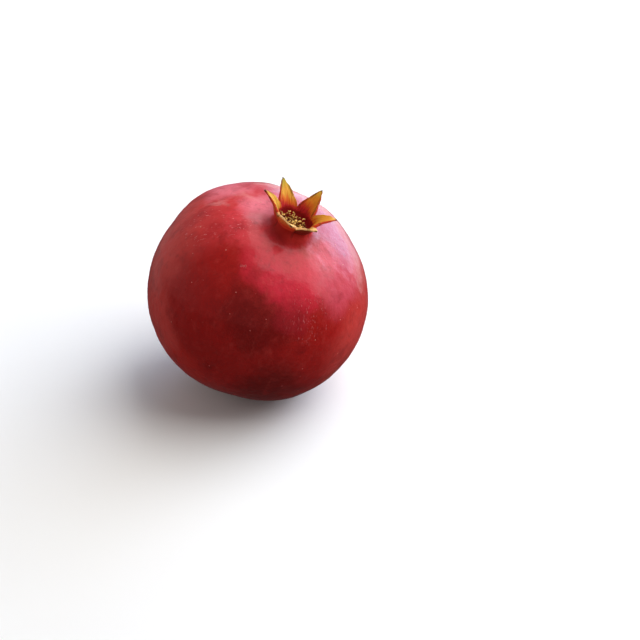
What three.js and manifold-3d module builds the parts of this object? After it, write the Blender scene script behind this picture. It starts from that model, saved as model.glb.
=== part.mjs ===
// A whole pomegranate, as picked: the leathery fruit with the crown it grew, the dried stamens and
// style that stand in the crown's cup, and the cut stub of its stalk.
//
// Millimetres, +Z up. The fruit leans on a small flat spot of its skin, and the origin is the middle
// of that spot. Inside, everything is laid out about the fruit's own axis, which runs from the stalk
// to the crown, and the crown's tube bends a little away from that axis.
import * as THREE from "three";
import { mergeVertices } from "three/addons/utils/BufferGeometryUtils.js";
import Module from "manifold-3d";

const wasm = await Module();
wasm.setup();

const DEG = Math.PI / 180;

// ---- The fruit's body: a sphere, flattened round the crown and dimpled round the stalk ----
const BODY_DIAMETER = 96;
const BODY_RADIUS = BODY_DIAMETER / 2;
const CROWN_FLATTENING = { depth: 3.2, spread: 28 * DEG };
const STALK_FLATTENING = { depth: 1.5, spread: 50 * DEG };
const STALK_DIMPLE = { depth: 2.3, spread: 9 * DEG };
// Faint ribs that run down from the six lobes of the crown and fade towards the stalk.
const RIB_HEIGHT = 0.45;
// Broad swellings and hollows that make the fruit uneven: where each lies round the axis and how far
// down from the crown.
const SWELLINGS = [
  { around: 158 * DEG, down: 64 * DEG, height: 2.0, spread: 17 * DEG },
  { around: 125 * DEG, down: 50 * DEG, height: 1.3, spread: 30 * DEG },
  { around: 279 * DEG, down: 132 * DEG, height: -2.1, spread: 30 * DEG },
  { around: 355 * DEG, down: 84 * DEG, height: 0.9, spread: 28 * DEG },
  { around: 60 * DEG, down: 115 * DEG, height: -0.7, spread: 32 * DEG },
];

// ---- How it lies: the fruit's axis leans from the vertical, and the skin is flat where it rests ----
const LEAN = 22.8 * DEG;
const LEAN_TOWARDS = -36.8 * DEG;
const SPIN = -17.4 * DEG;
const REST_SPOT_DEPTH = 1.4;
const REST_SPOT_SOFTNESS = 0.45;

// ---- The crown: a short tube that grows out of the body, cupped inside, with six lobes ----
const NECK_START = 16 * DEG;
const NECK_RADIUS = 8.3;
const NECK_HEIGHT = 47.2;
const RIM_RADIUS = 9.2;
const RIM_HEIGHT = 48.9;
const WALL = 1.6;
const CUP_FLOOR = 43.0;
const CUP_SQUARENESS = 2.6;
const CROWN_PIVOT = 43.5;
const CROWN_BEND = 13.4 * DEG;
const CROWN_RIBBING = 0.03;

// Each lobe: where it stands round the rim, its length along the middle, the angle it leaves the rim
// at and the angle its tip reaches (0 is along the crown's axis, 90 is straight out), how fast it
// curls, how far its tip strays sideways, and the height over the rim of the notch after it.
const LOBES = [
  { at: 14, length: 10.0, leaves: 2, ends: 88, curl: 0.8, strays: 0.9, notch: 0.8 },
  { at: 70, length: 12.2, leaves: 22, ends: 49, curl: 1.0, strays: 0.6, notch: 0.5 },
  { at: 132, length: 12.4, leaves: 34, ends: 70, curl: 0.9, strays: -0.4, notch: 0.9 },
  { at: 190, length: 10.9, leaves: 18, ends: 66, curl: 0.9, strays: 0.1, notch: 2.6 },
  { at: 252, length: 7.0, leaves: 28, ends: 68, curl: 1.2, strays: 5.0, notch: 0.6 },
  { at: 315, length: 4.8, leaves: 14, ends: 66, curl: 1.0, strays: 2.2, notch: 1.0 },
].map((lobe) => ({
  ...lobe,
  at: lobe.at * DEG,
  leaves: lobe.leaves * DEG,
  ends: lobe.ends * DEG,
}));
const LOBE_POINTEDNESS = 1.5;
const LOBE_TIP_THICKNESS = 0.6;

// ---- How finely the fruit's surface is divided ----
const COLUMNS_PER_LOBE = 10;
const COLUMNS = COLUMNS_PER_LOBE * LOBES.length;
const ROWS = { body: 30, fillet: 4, tube: 2, lobe: 6, cup: 6 };

// ---- Dried stamens in three rings, and the style between them ----
const FILAMENT_DIAMETER = 0.7;
const FILAMENT_SIDES = 5;
const FILAMENT_STEPS = 5;
const ANTHER = { length: 1.6, width: 1.0 };
const WALL_GAP = 0.3;
// Heights are above the crown's pivot, and radii are from the crown's axis.
const STAMEN_RINGS = [
  { count: 16, rootHeight: 3.6, tipRadius: 5.0, tipHeight: 5.8 },
  { count: 12, rootHeight: 2.2, tipRadius: 3.3, tipHeight: 5.2 },
  { count: 8, rootHeight: 1.1, tipRadius: 1.95, tipHeight: 4.6 },
];
const TIP_HEIGHT_VARIES = 0.5;
const STYLE = { radius: 0.55, height: 3.6, knobRadius: 0.85 };

// ---- The cut stub of the stalk ----
const STUB = { baseRadius: 2.9, cutRadius: 2.4, length: 2.2, sides: 16 };

// How much a swelling, centred on one direction, lifts the skin in another direction.
function swellingHeight(swelling, around, down) {
  const cosine =
    Math.cos(down) * Math.cos(swelling.down) +
    Math.sin(down) * Math.sin(swelling.down) * Math.cos(around - swelling.around);
  const apart = Math.acos(THREE.MathUtils.clamp(cosine, -1, 1));
  return swelling.height * Math.exp(-((apart / swelling.spread) ** 2));
}

// A dip of a given depth at an angle of 0, which fades over its spread.
function dip({ depth, spread }, angle) {
  return depth * Math.exp(-((angle / spread) ** 2));
}

// The body's radius in one direction: around the axis, and down from the crown's end of it.
function bodyRadius(around, down, ribPhase) {
  const swell = SWELLINGS.reduce((sum, s) => sum + swellingHeight(s, around, down), 0);
  const rib = RIB_HEIGHT * Math.sin(down) * Math.cos(down / 2) ** 2 * Math.cos(ribPhase);
  const dips =
    dip(CROWN_FLATTENING, down) +
    dip(STALK_FLATTENING, Math.PI - down) +
    dip(STALK_DIMPLE, Math.PI - down);
  return BODY_RADIUS + swell + rib - dips;
}

// A point in the plane through the axis at one angle: its distance from the axis and its height.
function onMeridian(angle, radius, height) {
  return new THREE.Vector3(radius * Math.cos(angle), radius * Math.sin(angle), height);
}

function bodyPoint(column, down) {
  const r = bodyRadius(column.angle, down, column.ribPhase);
  return onMeridian(column.angle, r * Math.sin(down), r * Math.cos(down));
}

// The crown isn't quite round: its wall bulges a little behind each lobe.
function ribbed(column, radius) {
  return radius * (1 + CROWN_RIBBING * Math.cos(column.ribPhase));
}

// The curve from the body's shoulder up into the crown's neck, tangent to both.
function filletPoint(column, t) {
  const shoulder = bodyPoint(column, NECK_START);
  const start = new THREE.Vector2(Math.hypot(shoulder.x, shoulder.y), shoulder.z);
  const end = new THREE.Vector2(ribbed(column, NECK_RADIUS), NECK_HEIGHT);
  const run = start.x - end.x;
  const corner = new THREE.Vector2(end.x, start.y + run * Math.tan(NECK_START));
  const p = new THREE.QuadraticBezierCurve(start, corner, end).getPoint(t);
  return onMeridian(column.angle, p.x, p.y);
}

// The tube's outer wall, from the neck (0) to the notches between the lobes (1).
function tubePoint(column, t) {
  const radius = THREE.MathUtils.lerp(NECK_RADIUS, RIM_RADIUS, t * t);
  const height = THREE.MathUtils.lerp(NECK_HEIGHT, RIM_HEIGHT, t);
  return onMeridian(column.angle, ribbed(column, radius), height);
}

// How far along its lobe a column reaches before the margin: least at a notch, most at the tip.
function reach({ lobe, across, notch }) {
  const share = (1 - Math.abs(across)) ** (1 / LOBE_POINTEDNESS);
  return notch + (lobe.length - notch) * share;
}

function flareAt(lobe, along) {
  return lobe.leaves + (lobe.ends - lobe.leaves) * along ** lobe.curl;
}

// How far out and up a lobe's middle has gone after a distance from the rim.
function lobeTravel(lobe, distance) {
  const steps = 12;
  const travel = { out: 0, up: 0 };
  for (let i = 0; i < steps; i++) {
    const flare = flareAt(lobe, ((i + 0.5) / steps) * (distance / lobe.length));
    travel.out += (Math.sin(flare) * distance) / steps;
    travel.up += (Math.cos(flare) * distance) / steps;
  }
  return travel;
}

// A point on a lobe: along runs from the rim (0) to the margin (1), and depth goes through the
// lobe's thickness from its outer face (0) to its inner face (1).
function lobePoint(column, along, depth) {
  const { lobe } = column;
  const distance = along * reach(column);
  const share = distance / lobe.length;
  const { out, up } = lobeTravel(lobe, distance);
  const flare = flareAt(lobe, share);
  const thickness = THREE.MathUtils.lerp(WALL, LOBE_TIP_THICKNESS, share) * depth;
  const sideways = lobe.strays * share ** 2;
  const heading = column.lobeHeading;
  return tubePoint(column, 1)
    .add(onMeridian(heading, out, up))
    .add(onMeridian(heading + Math.PI / 2, sideways, 0))
    .add(onMeridian(column.angle, -thickness * Math.cos(flare), thickness * Math.sin(flare)));
}

// The rounded margin of a lobe, halfway between its two faces.
function marginPoint(column) {
  const outer = lobePoint(column, 1, 0);
  const inner = lobePoint(column, 1, 1);
  const before = lobePoint(column, 0.9, 0.5);
  const middle = outer.clone().lerp(inner, 0.5);
  const onward = middle.clone().sub(before).normalize();
  return middle.addScaledVector(onward, outer.distanceTo(inner) / 3);
}

// The cup's wall at a height: it falls steeply from the rim and rounds off into the floor.
function cupRadius(height) {
  const rim = RIM_RADIUS - WALL;
  const depth = (RIM_HEIGHT - height) / (RIM_HEIGHT - CUP_FLOOR);
  return rim * (1 - Math.min(1, depth) ** CUP_SQUARENESS) ** (1 / CUP_SQUARENESS);
}

function cupPoint(column, t) {
  const rim = lobePoint(column, 0, 1);
  const rimRadius = Math.hypot(rim.x, rim.y);
  const turn = (t * Math.PI) / 2;
  const radius = rimRadius * Math.max(0, Math.cos(turn)) ** (2 / CUP_SQUARENESS);
  const fall = Math.sin(turn) ** (2 / CUP_SQUARENESS);
  return onMeridian(column.angle, radius, THREE.MathUtils.lerp(rim.z, CUP_FLOOR, fall));
}

// Everything above the body's shoulder bends with the crown: 0 on the body, 1 on the tube.
function bendCrown(point, share) {
  const pivot = new THREE.Vector3(0, 0, CROWN_PIVOT);
  return point.sub(pivot).applyAxisAngle(new THREE.Vector3(1, 0, 0), -CROWN_BEND * share).add(pivot);
}

// The rows of the fruit's surface, from the stalk's end up over the body, the neck and the lobes'
// outer faces, over their margins, and down the inner faces to the middle of the cup's floor.
function surfaceRows() {
  const rows = [];
  const share = (i, count) => i / count;
  for (let i = 0; i <= ROWS.body; i++) {
    const down = THREE.MathUtils.lerp(Math.PI, NECK_START, share(i, ROWS.body));
    rows.push((column) => bodyPoint(column, down));
  }
  for (let i = 1; i <= ROWS.fillet; i++) {
    const t = share(i, ROWS.fillet);
    rows.push((column) => bendCrown(filletPoint(column, t), THREE.MathUtils.smoothstep(t, 0, 1)));
  }
  for (let i = 1; i <= ROWS.tube; i++) {
    const t = share(i, ROWS.tube);
    rows.push((column) => bendCrown(tubePoint(column, t), 1));
  }
  for (let i = 1; i <= ROWS.lobe; i++) {
    const along = share(i, ROWS.lobe);
    rows.push((column) => bendCrown(lobePoint(column, along, 0), 1));
  }
  rows.push((column) => bendCrown(marginPoint(column), 1));
  for (let i = ROWS.lobe; i >= 0; i--) {
    const along = share(i, ROWS.lobe);
    rows.push((column) => bendCrown(lobePoint(column, along, 1), 1));
  }
  for (let i = 1; i <= ROWS.cup; i++) {
    const t = share(i, ROWS.cup);
    rows.push((column) => bendCrown(cupPoint(column, t), 1));
  }
  return rows;
}

// The columns of the surface. Each belongs to one lobe: across is -1 and 1 at the notches on either
// side of it and 0 at its middle.
function surfaceColumns() {
  const half = COLUMNS_PER_LOBE / 2;
  const columns = [];
  LOBES.forEach((lobe, n) => {
    const before = LOBES[(n + LOBES.length - 1) % LOBES.length];
    const after = LOBES[(n + 1) % LOBES.length];
    const turnBack = THREE.MathUtils.euclideanModulo(lobe.at - before.at, 2 * Math.PI) / 2;
    const turnOn = THREE.MathUtils.euclideanModulo(after.at - lobe.at, 2 * Math.PI) / 2;
    for (let i = -half; i < half; i++) {
      const across = i / half;
      const angle = lobe.at + across * (across < 0 ? turnBack : turnOn);
      // A notch's own column heads straight out, so that it suits the lobes on both sides.
      const lobeHeading = i === -half ? angle : lobe.at;
      const notch = across < 0 ? before.notch : lobe.notch;
      columns.push({ lobe, across, angle, lobeHeading, notch, ribPhase: across * Math.PI });
    }
  });
  return columns;
}

// A grid of rows and columns, closed round the axis, is a lathe's; its points are then moved.
function fruitGeometry() {
  const rows = surfaceRows();
  const columns = surfaceColumns();
  const blank = rows.map((_, j) => new THREE.Vector2(1, j));
  const geometry = new THREE.LatheGeometry(blank, COLUMNS);
  const position = geometry.getAttribute("position");
  for (let i = 0; i <= COLUMNS; i++) {
    rows.forEach((row, j) => {
      const p = row(columns[i % COLUMNS]);
      position.setXYZ(i * rows.length + j, p.x, p.y, p.z);
    });
  }
  return bare(geometry);
}

// A geometry with its shared points merged, and nothing but their positions.
function bare(geometry) {
  geometry.deleteAttribute("normal");
  geometry.deleteAttribute("uv");
  return mergeVertices(geometry, 1e-4);
}

// The turn that leans the fruit, and spins it about its own axis first.
function leaning() {
  const tiltAxis = new THREE.Vector3(-Math.sin(LEAN_TOWARDS), Math.cos(LEAN_TOWARDS), 0);
  const tilt = new THREE.Quaternion().setFromAxisAngle(tiltAxis, LEAN);
  return tilt.multiply(new THREE.Quaternion().setFromAxisAngle(new THREE.Vector3(0, 0, 1), SPIN));
}

// Skin that would lie below the table is pressed flat on it, with a soft turn at the spot's edge.
function pressed(z) {
  const soft = REST_SPOT_SOFTNESS;
  if (z >= soft) return z;
  if (z <= -soft) return 0;
  return (z + soft) ** 2 / (4 * soft);
}

// The middle of the flat spot, weighted by the area of its triangles.
function spotMiddle(geometry) {
  const position = geometry.getAttribute("position");
  const corner = (k) => new THREE.Vector3().fromBufferAttribute(position, geometry.index.getX(k));
  const middle = new THREE.Vector3();
  let area = 0;
  for (let k = 0; k < geometry.index.count; k += 3) {
    const triangle = new THREE.Triangle(corner(k), corner(k + 1), corner(k + 2));
    if (Math.max(triangle.a.z, triangle.b.z, triangle.c.z) > 0) continue;
    const centre = triangle.getMidpoint(new THREE.Vector3());
    middle.addScaledVector(centre, triangle.getArea());
    area += triangle.getArea();
  }
  return middle.divideScalar(area);
}

// Lays the fruit down: turned, lifted so that the rest spot has its depth, and pressed flat there,
// with the middle of the spot at the origin. Gives back how far it was moved.
function layDown(geometry, turn) {
  geometry.applyQuaternion(turn);
  geometry.computeBoundingBox();
  const lift = -geometry.boundingBox.min.z - REST_SPOT_DEPTH;
  geometry.translate(0, 0, lift);
  const position = geometry.getAttribute("position");
  for (let i = 0; i < position.count; i++) position.setZ(i, pressed(position.getZ(i)));
  const { x, y } = spotMiddle(geometry);
  geometry.translate(-x, -y, 0);
  return new THREE.Vector3(-x, -y, lift);
}

function toSolid(geometry) {
  const { position } = geometry.attributes;
  return new wasm.Manifold(
    new wasm.Mesh({
      numProp: 3,
      vertProperties: new Float32Array(position.array),
      triVerts: new Uint32Array(geometry.index.array),
    }),
  );
}

function toGeometry(solid) {
  const { vertProperties, triVerts } = solid.getMesh();
  return new THREE.BufferGeometry()
    .setAttribute("position", new THREE.BufferAttribute(vertProperties, 3))
    .setIndex(new THREE.BufferAttribute(triVerts, 1));
}

// One dried stamen: a thin filament that rises from the cup's wall and leans in, and its anther.
function stamenGeometry(ring, number) {
  const angle = (2 * Math.PI * number) / ring.count;
  const rootRadius = cupRadius(ring.rootHeight + CROWN_PIVOT) - WALL_GAP - FILAMENT_DIAMETER;
  const tipHeight = ring.tipHeight + TIP_HEIGHT_VARIES * Math.sin(2.4 * number * ring.count);
  const root = onMeridian(angle, rootRadius, ring.rootHeight);
  const tip = onMeridian(angle, ring.tipRadius, tipHeight);
  const elbow = onMeridian(
    angle,
    THREE.MathUtils.lerp(rootRadius, ring.tipRadius, 0.75),
    THREE.MathUtils.lerp(ring.rootHeight, tipHeight, 0.45),
  );
  const line = new THREE.QuadraticBezierCurve3(root, elbow, tip);
  const section = new THREE.Shape(
    new THREE.EllipseCurve(0, 0, FILAMENT_DIAMETER / 2, FILAMENT_DIAMETER / 2)
      .getPoints(FILAMENT_SIDES)
      .slice(0, FILAMENT_SIDES),
  );
  const filament = new THREE.ExtrudeGeometry(section, {
    extrudePath: line,
    steps: FILAMENT_STEPS,
  });
  const anther = new THREE.SphereGeometry(0.5, 6, 5);
  anther.scale(ANTHER.width, ANTHER.length, ANTHER.width);
  anther.applyQuaternion(
    new THREE.Quaternion().setFromUnitVectors(new THREE.Vector3(0, 1, 0), line.getTangent(1)),
  );
  anther.translate(tip.x, tip.y, tip.z);
  return toGeometry(toSolid(bare(filament)).add(toSolid(bare(anther))));
}

// The dried style: a short column from the middle of the cup's floor, with a rounded knob on top.
function styleGeometry() {
  const foot = CUP_FLOOR - CROWN_PIVOT + WALL_GAP;
  const { radius, height, knobRadius } = STYLE;
  const profile = [
    new THREE.Vector2(0, foot),
    new THREE.Vector2(radius * 1.5, foot),
    new THREE.Vector2(radius, foot + radius * 1.5),
    new THREE.Vector2(radius, height - knobRadius),
    new THREE.Vector2(knobRadius, height - knobRadius * 0.3),
    new THREE.Vector2(knobRadius * 0.8, height + knobRadius * 0.4),
    new THREE.Vector2(0, height + knobRadius * 0.7),
  ];
  return bare(new THREE.LatheGeometry(profile, 8)).rotateX(Math.PI / 2);
}

// The stub points away from the crown, out of the dimple at the stalk's end.
function stubGeometry() {
  const { baseRadius, cutRadius, length, sides } = STUB;
  const buried = bodyRadius(0, Math.PI, 0);
  const root = -(buried + WALL_GAP);
  const profile = [
    new THREE.Vector2(0, root - length),
    new THREE.Vector2(cutRadius * 0.85, root - length),
    new THREE.Vector2(cutRadius, root - length + 0.4),
    new THREE.Vector2(cutRadius, root - length * 0.5),
    new THREE.Vector2(baseRadius, root - 1.0),
    new THREE.Vector2(baseRadius * 0.55, root - 0.1),
    new THREE.Vector2(0, root),
  ];
  return bare(new THREE.LatheGeometry(profile, sides)).rotateX(Math.PI / 2);
}

const skin = new THREE.MeshStandardMaterial({ color: 0xa3212c, roughness: 0.42, metalness: 0 });
const driedStamen = new THREE.MeshStandardMaterial({ color: 0xb8862f, roughness: 0.8, metalness: 0 });
const driedStyle = new THREE.MeshStandardMaterial({ color: 0x8a5a2a, roughness: 0.8, metalness: 0 });
const stalkWood = new THREE.MeshStandardMaterial({ color: 0x6b5236, roughness: 0.9, metalness: 0 });

function named(name, geometry, material) {
  const mesh = new THREE.Mesh(geometry, material);
  mesh.name = name;
  return mesh;
}

const pomegranate = new THREE.Group();
const turn = leaning();
const skinGeometry = fruitGeometry();
const place = layDown(skinGeometry, turn);
pomegranate.add(named("fruit", skinGeometry, skin));

// What isn't pressed by the table keeps the fruit's own axes.
const alongAxis = new THREE.Group();
alongAxis.position.copy(place);
alongAxis.quaternion.copy(turn);
pomegranate.add(alongAxis);
alongAxis.add(named("stalk_stub", stubGeometry(), stalkWood));

const crown = new THREE.Group();
crown.position.set(0, 0, CROWN_PIVOT);
crown.rotation.x = -CROWN_BEND;
alongAxis.add(crown);
crown.add(named("style", styleGeometry(), driedStyle));
let stamenNumber = 0;
for (const ring of STAMEN_RINGS) {
  for (let n = 0; n < ring.count; n++) {
    stamenNumber += 1;
    const name = `stamen_${String(stamenNumber).padStart(2, "0")}`;
    crown.add(named(name, stamenGeometry(ring, n), driedStamen));
  }
}

export default pomegranate;
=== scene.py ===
"""The looks of a whole pomegranate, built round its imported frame.

Metres, +Z up, in the frame's own axes. The fruit lies on a small flat spot of its rind, and its own axis,
from the stalk to the crown, leans. The rind, with the crown that grew out of it, is one fine mesh. The dried
stamens, the style, the cut stalk and the rind's raised corky dots are pieces of their own.
"""

from __future__ import annotations

import logging
import math
from dataclasses import dataclass
from enum import Enum
from typing import Any, Iterable, Mapping, Sequence, Union

import bpy
import numpy as np
from mathutils import Matrix, Quaternion, Vector


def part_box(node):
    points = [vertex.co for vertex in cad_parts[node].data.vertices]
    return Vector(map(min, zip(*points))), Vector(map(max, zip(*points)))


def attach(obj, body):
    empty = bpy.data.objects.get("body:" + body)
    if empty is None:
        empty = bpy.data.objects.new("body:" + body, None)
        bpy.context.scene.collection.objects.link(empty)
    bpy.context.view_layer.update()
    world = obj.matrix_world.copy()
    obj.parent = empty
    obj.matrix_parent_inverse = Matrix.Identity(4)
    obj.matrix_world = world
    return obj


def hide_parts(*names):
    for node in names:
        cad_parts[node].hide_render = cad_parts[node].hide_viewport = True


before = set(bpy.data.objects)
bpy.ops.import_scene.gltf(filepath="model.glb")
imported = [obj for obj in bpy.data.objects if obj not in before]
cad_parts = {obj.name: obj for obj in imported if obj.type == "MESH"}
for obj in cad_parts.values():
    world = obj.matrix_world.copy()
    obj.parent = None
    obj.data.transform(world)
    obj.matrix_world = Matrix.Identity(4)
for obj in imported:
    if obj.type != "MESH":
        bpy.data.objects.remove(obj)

LOG = logging.getLogger("pomegranate")
BODY = "root"
MM = 0.001
SQUARE_MM = MM * MM
# A noise gives values from 0 to 1, and nearly all of them lie between its low and its high.
NOISE_LOW, NOISE_MIDDLE, NOISE_HIGH = 0.25, 0.5, 0.75
# The rind's mesh keeps these numbers for its finish, each from 0 to 1 or, across a lobe, from -1.
KEPT_NUMBERS = (
    "tube",
    "wall_rise",
    "along_lobe",
    "across_lobe",
    "lobe_zone",
    "inner_face",
    "margin",
    "pale_margin",
    "painted_back_shade",
    "cup_depth",
)

NodeInput = Union[bpy.types.Node, bpy.types.NodeSocket, float, int, str, Sequence[float]]
NodeInputs = Mapping[Union[int, str], NodeInput]
# Two limits of a value.
Span = tuple[float, float]


# ---- Small tools that every class uses ----


def linear(code: str) -> tuple[float, float, float, float]:
    """Turns a colour into what a shader takes.

    Args:
        code: the colour as sRGB hex, such as "#a3212c".

    Returns:
        Linear red, green and blue, and an alpha of 1.
    """
    levels = [int(code[i : i + 2], 16) / 255 for i in (1, 3, 5)]
    red, green, blue = (s / 12.92 if s <= 0.04045 else ((s + 0.055) / 1.055) ** 2.4 for s in levels)
    return red, green, blue, 1.0


def first_output(node: bpy.types.Node) -> bpy.types.NodeSocket:
    """The first of a node's outputs that is in use."""
    return next(socket for socket in node.outputs if socket.enabled)


def add_node(
    tree: bpy.types.NodeTree,
    kind: str,
    inputs: NodeInputs | None = None,
    **settings: Any,
) -> bpy.types.Node:
    """Adds a node to a tree, with its settings and what goes into it.

    Args:
        tree: the material's, world's or geometry's node tree.
        kind: the node's type name.
        inputs: what goes into each input, by its name or its number among those in use: another node
            (its first output in use), one output of a node, or a constant.
        **settings: the node's own properties.

    Returns:
        The new node.
    """
    node = tree.nodes.new(kind)
    for name, value in settings.items():
        setattr(node, name, value)
    for key, value in (inputs or {}).items():
        in_use = [socket for socket in node.inputs if socket.enabled]
        socket = in_use[key] if isinstance(key, int) else next(s for s in in_use if s.name == key)
        if isinstance(value, bpy.types.Node):
            value = first_output(value)
        if isinstance(value, bpy.types.NodeSocket):
            tree.links.new(value, socket)
        else:
            socket.default_value = value
    return node


def smooth(value: np.ndarray, low: float, high: float) -> np.ndarray:
    """Rises smoothly from 0 where value is low to 1 where it is high."""
    t = np.clip((value - low) / (high - low), 0.0, 1.0)
    return t * t * (3 - 2 * t)


def shares(number: int, first: int = 1) -> np.ndarray:
    """A column of evenly spaced shares, from first / number up to 1."""
    return (np.arange(first, number + 1) / number)[:, None]


def round_angles(number: int) -> np.ndarray:
    """A row of evenly spaced angles that go once round, in radians."""
    return (np.arange(number) / number * 2 * math.pi)[None, :]


def meridian(angle: np.ndarray, radius: np.ndarray, height: np.ndarray) -> np.ndarray:
    """Points in planes through the axis, from their distance to the axis and their height."""
    x, y, z = np.broadcast_arrays(radius * np.cos(angle), radius * np.sin(angle), height)
    return np.stack([x, y, z], axis=-1)


def direction_from(azimuth: float, elevation: float) -> Vector:
    """The unit vector with an azimuth and an elevation in degrees."""
    a, e = math.radians(azimuth), math.radians(elevation)
    return Vector((math.cos(a) * math.cos(e), math.sin(a) * math.cos(e), math.sin(e)))


def closed_mesh(name: str, grid: np.ndarray, start_pole: np.ndarray, end_pole: np.ndarray) -> bpy.types.Mesh:
    """Closes a grid of points round an axis, from one pole to the other, into a mesh that faces out.

    Args:
        name: the mesh's name.
        grid: points as rows, columns and coordinates; the columns run once round the axis.
        start_pole: the point before the first row.
        end_pole: the point after the last row.

    Returns:
        The mesh. Its points are the start pole, the grid's points row by row, and the end pole.
    """
    rows, columns, _ = grid.shape
    points = np.concatenate([[start_pole], grid.reshape(-1, 3), [end_pole]])
    here = np.arange(columns)
    beside = (here + 1) % columns
    last = len(points) - 1
    faces = [(0, int(1 + b), int(1 + a)) for a, b in zip(here, beside)]
    for row in range(rows - 1):
        low, high = 1 + row * columns, 1 + (row + 1) * columns
        faces += [(int(low + a), int(low + b), int(high + b), int(high + a)) for a, b in zip(here, beside)]
    top = 1 + (rows - 1) * columns
    faces += [(int(top + a), int(top + b), last) for a, b in zip(here, beside)]
    if signed_volume(points, faces) < 0:
        faces = [face[::-1] for face in faces]
    mesh = bpy.data.meshes.new(name)
    mesh.from_pydata(points.tolist(), [], faces)
    mesh.shade_smooth()
    return mesh


def signed_volume(points: np.ndarray, faces: Iterable[Sequence[int]]) -> float:
    """Measures what faces enclose.

    Args:
        points: the corners.
        faces: the numbers of each face's corners.

    Returns:
        The volume, below 0 where the faces look inwards.
    """
    fans = [(f[0], f[i], f[i + 1]) for f in faces for i in range(1, len(f) - 1)]
    a, b, c = (points[np.array([fan[k] for fan in fans])] for k in range(3))
    return float(np.einsum("ij,ij->i", a, np.cross(b, c)).sum() / 6)


def store(mesh: bpy.types.Mesh, name: str, values: np.ndarray) -> None:
    """Keeps a number or a vector for each point of a mesh.

    Args:
        mesh: the mesh.
        name: the attribute that keeps them.
        values: one row for each point.
    """
    vector = values.ndim == 2
    kind = "FLOAT_VECTOR" if vector else "FLOAT"
    attribute = mesh.attributes.new(name, kind, "POINT")
    attribute.data.foreach_set("vector" if vector else "value", values.astype(np.float32).ravel())


def as_object(mesh: bpy.types.Mesh) -> bpy.types.Object:
    """Puts a mesh into the scene as an object of the same name, at the origin."""
    thing = bpy.data.objects.new(mesh.name, mesh)
    bpy.context.scene.collection.objects.link(thing)
    return thing


def run_geometry_nodes(
    thing: bpy.types.Object, tree: bpy.types.NodeTree, values: Mapping[str, Any]
) -> bpy.types.Object:
    """Makes an object's mesh with a geometry tree, and leaves a plain mesh and no modifier.

    Args:
        thing: the object whose mesh goes into the tree.
        tree: the geometry node tree.
        values: what the tree's named inputs are set to.

    Returns:
        The same object with its new mesh.
    """
    modifier = thing.modifiers.new(tree.name, "NODES")
    modifier.node_group = tree
    for item in tree.interface.items_tree:
        if item.item_type == "SOCKET" and item.in_out == "INPUT" and item.name in values:
            modifier[item.identifier] = values[item.name]
    evaluated = thing.evaluated_get(bpy.context.evaluated_depsgraph_get())
    made = bpy.data.meshes.new_from_object(evaluated)
    thing.modifiers.remove(modifier)
    thing.data = made
    made.name = thing.name
    return thing


def geometry_tree(name: str, values: Mapping[str, int | float]) -> bpy.types.NodeTree:
    """Starts a geometry node tree with a geometry input and output and some named inputs.

    Args:
        name: the tree's name.
        values: name and default of each further input. A whole number makes a whole input.

    Returns:
        The tree, which holds nothing but its sockets.
    """
    tree = bpy.data.node_groups.new(name, "GeometryNodeTree")
    tree.interface.new_socket("Geometry", in_out="INPUT", socket_type="NodeSocketGeometry")
    for label, value in values.items():
        kind = "NodeSocketInt" if isinstance(value, int) else "NodeSocketFloat"
        tree.interface.new_socket(label, in_out="INPUT", socket_type=kind).default_value = value
    tree.interface.new_socket("Geometry", in_out="OUTPUT", socket_type="NodeSocketGeometry")
    return tree


def end_tree(tree: bpy.types.NodeTree, made: bpy.types.Node, material: bpy.types.Material) -> None:
    """Ends a geometry node tree: what it made becomes real, smooth and dressed.

    Args:
        tree: the tree.
        made: the node that gives the geometry.
        material: what the geometry is given.
    """
    real = add_node(tree, "GeometryNodeRealizeInstances", {0: made})
    shaded = add_node(tree, "GeometryNodeSetShadeSmooth", {0: real})
    dressed = add_node(tree, "GeometryNodeSetMaterial", {0: shaded, "Material": material})
    add_node(tree, "NodeGroupOutput", {0: dressed})


class Slot(Enum):
    """The record's material slots."""

    RIND = "rind"
    STAMEN = "dried_stamen"
    STYLE = "dried_style"
    STALK = "stalk"


def hand_over(piece: bpy.types.Object, replaced: Sequence[str] = ()) -> None:
    """Gives a finished piece to the frame: its body and the nodes that it stands for.

    Args:
        piece: the piece, in place.
        replaced: the frame's nodes that it is shown instead of.
    """
    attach(piece, BODY)
    if replaced:
        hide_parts(*replaced)
    triangles = sum(len(face.vertices) - 2 for face in piece.data.polygons)
    LOG.info("%s: %d triangles, stands for %s", piece.name, triangles, list(replaced) or "nothing")


# ---- How the fruit lies, and its rind ----


@dataclass(frozen=True)
class Swelling:
    """A broad swelling or hollow of the fruit: where it lies in degrees, and its height in mm."""

    around: float
    down: float
    height: float
    spread: float


@dataclass(frozen=True)
class Dip:
    """A dip at an end of the axis: its depth in mm, and its spread in degrees."""

    depth: float
    spread: float

    def at(self, angle: np.ndarray) -> np.ndarray:
        """How deep the dip is at an angle in radians from its middle."""
        return self.depth * np.exp(-((angle / math.radians(self.spread)) ** 2))


@dataclass(frozen=True)
class Relief:
    """Uneven skin: its name, how far it rises and sinks, and how broad its bumps are (mm)."""

    name: str
    height: float
    size: float
    on_lobes: bool = False


@dataclass(frozen=True)
class Lobe:
    """One lobe of the crown, in mm and degrees.

    It stands at an angle round the rim. Its middle leaves the rim at one angle from the crown's axis, ends
    at another, curls between them, and strays sideways by its tip. The notch is the one after it. Olive,
    blush and amber say how far its inner face turns green, stays red at its root, and darkens to orange,
    and pale how light its dry margin is. The last field says how much painted shade darkens its back and the
    wall below it.
    """

    at: float
    length: float
    leaves: float
    ends: float
    curl: float
    strays: float
    notch: float
    olive: float
    blush: float
    amber: float
    pale: float
    back_shade: float = 0.0


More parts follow.
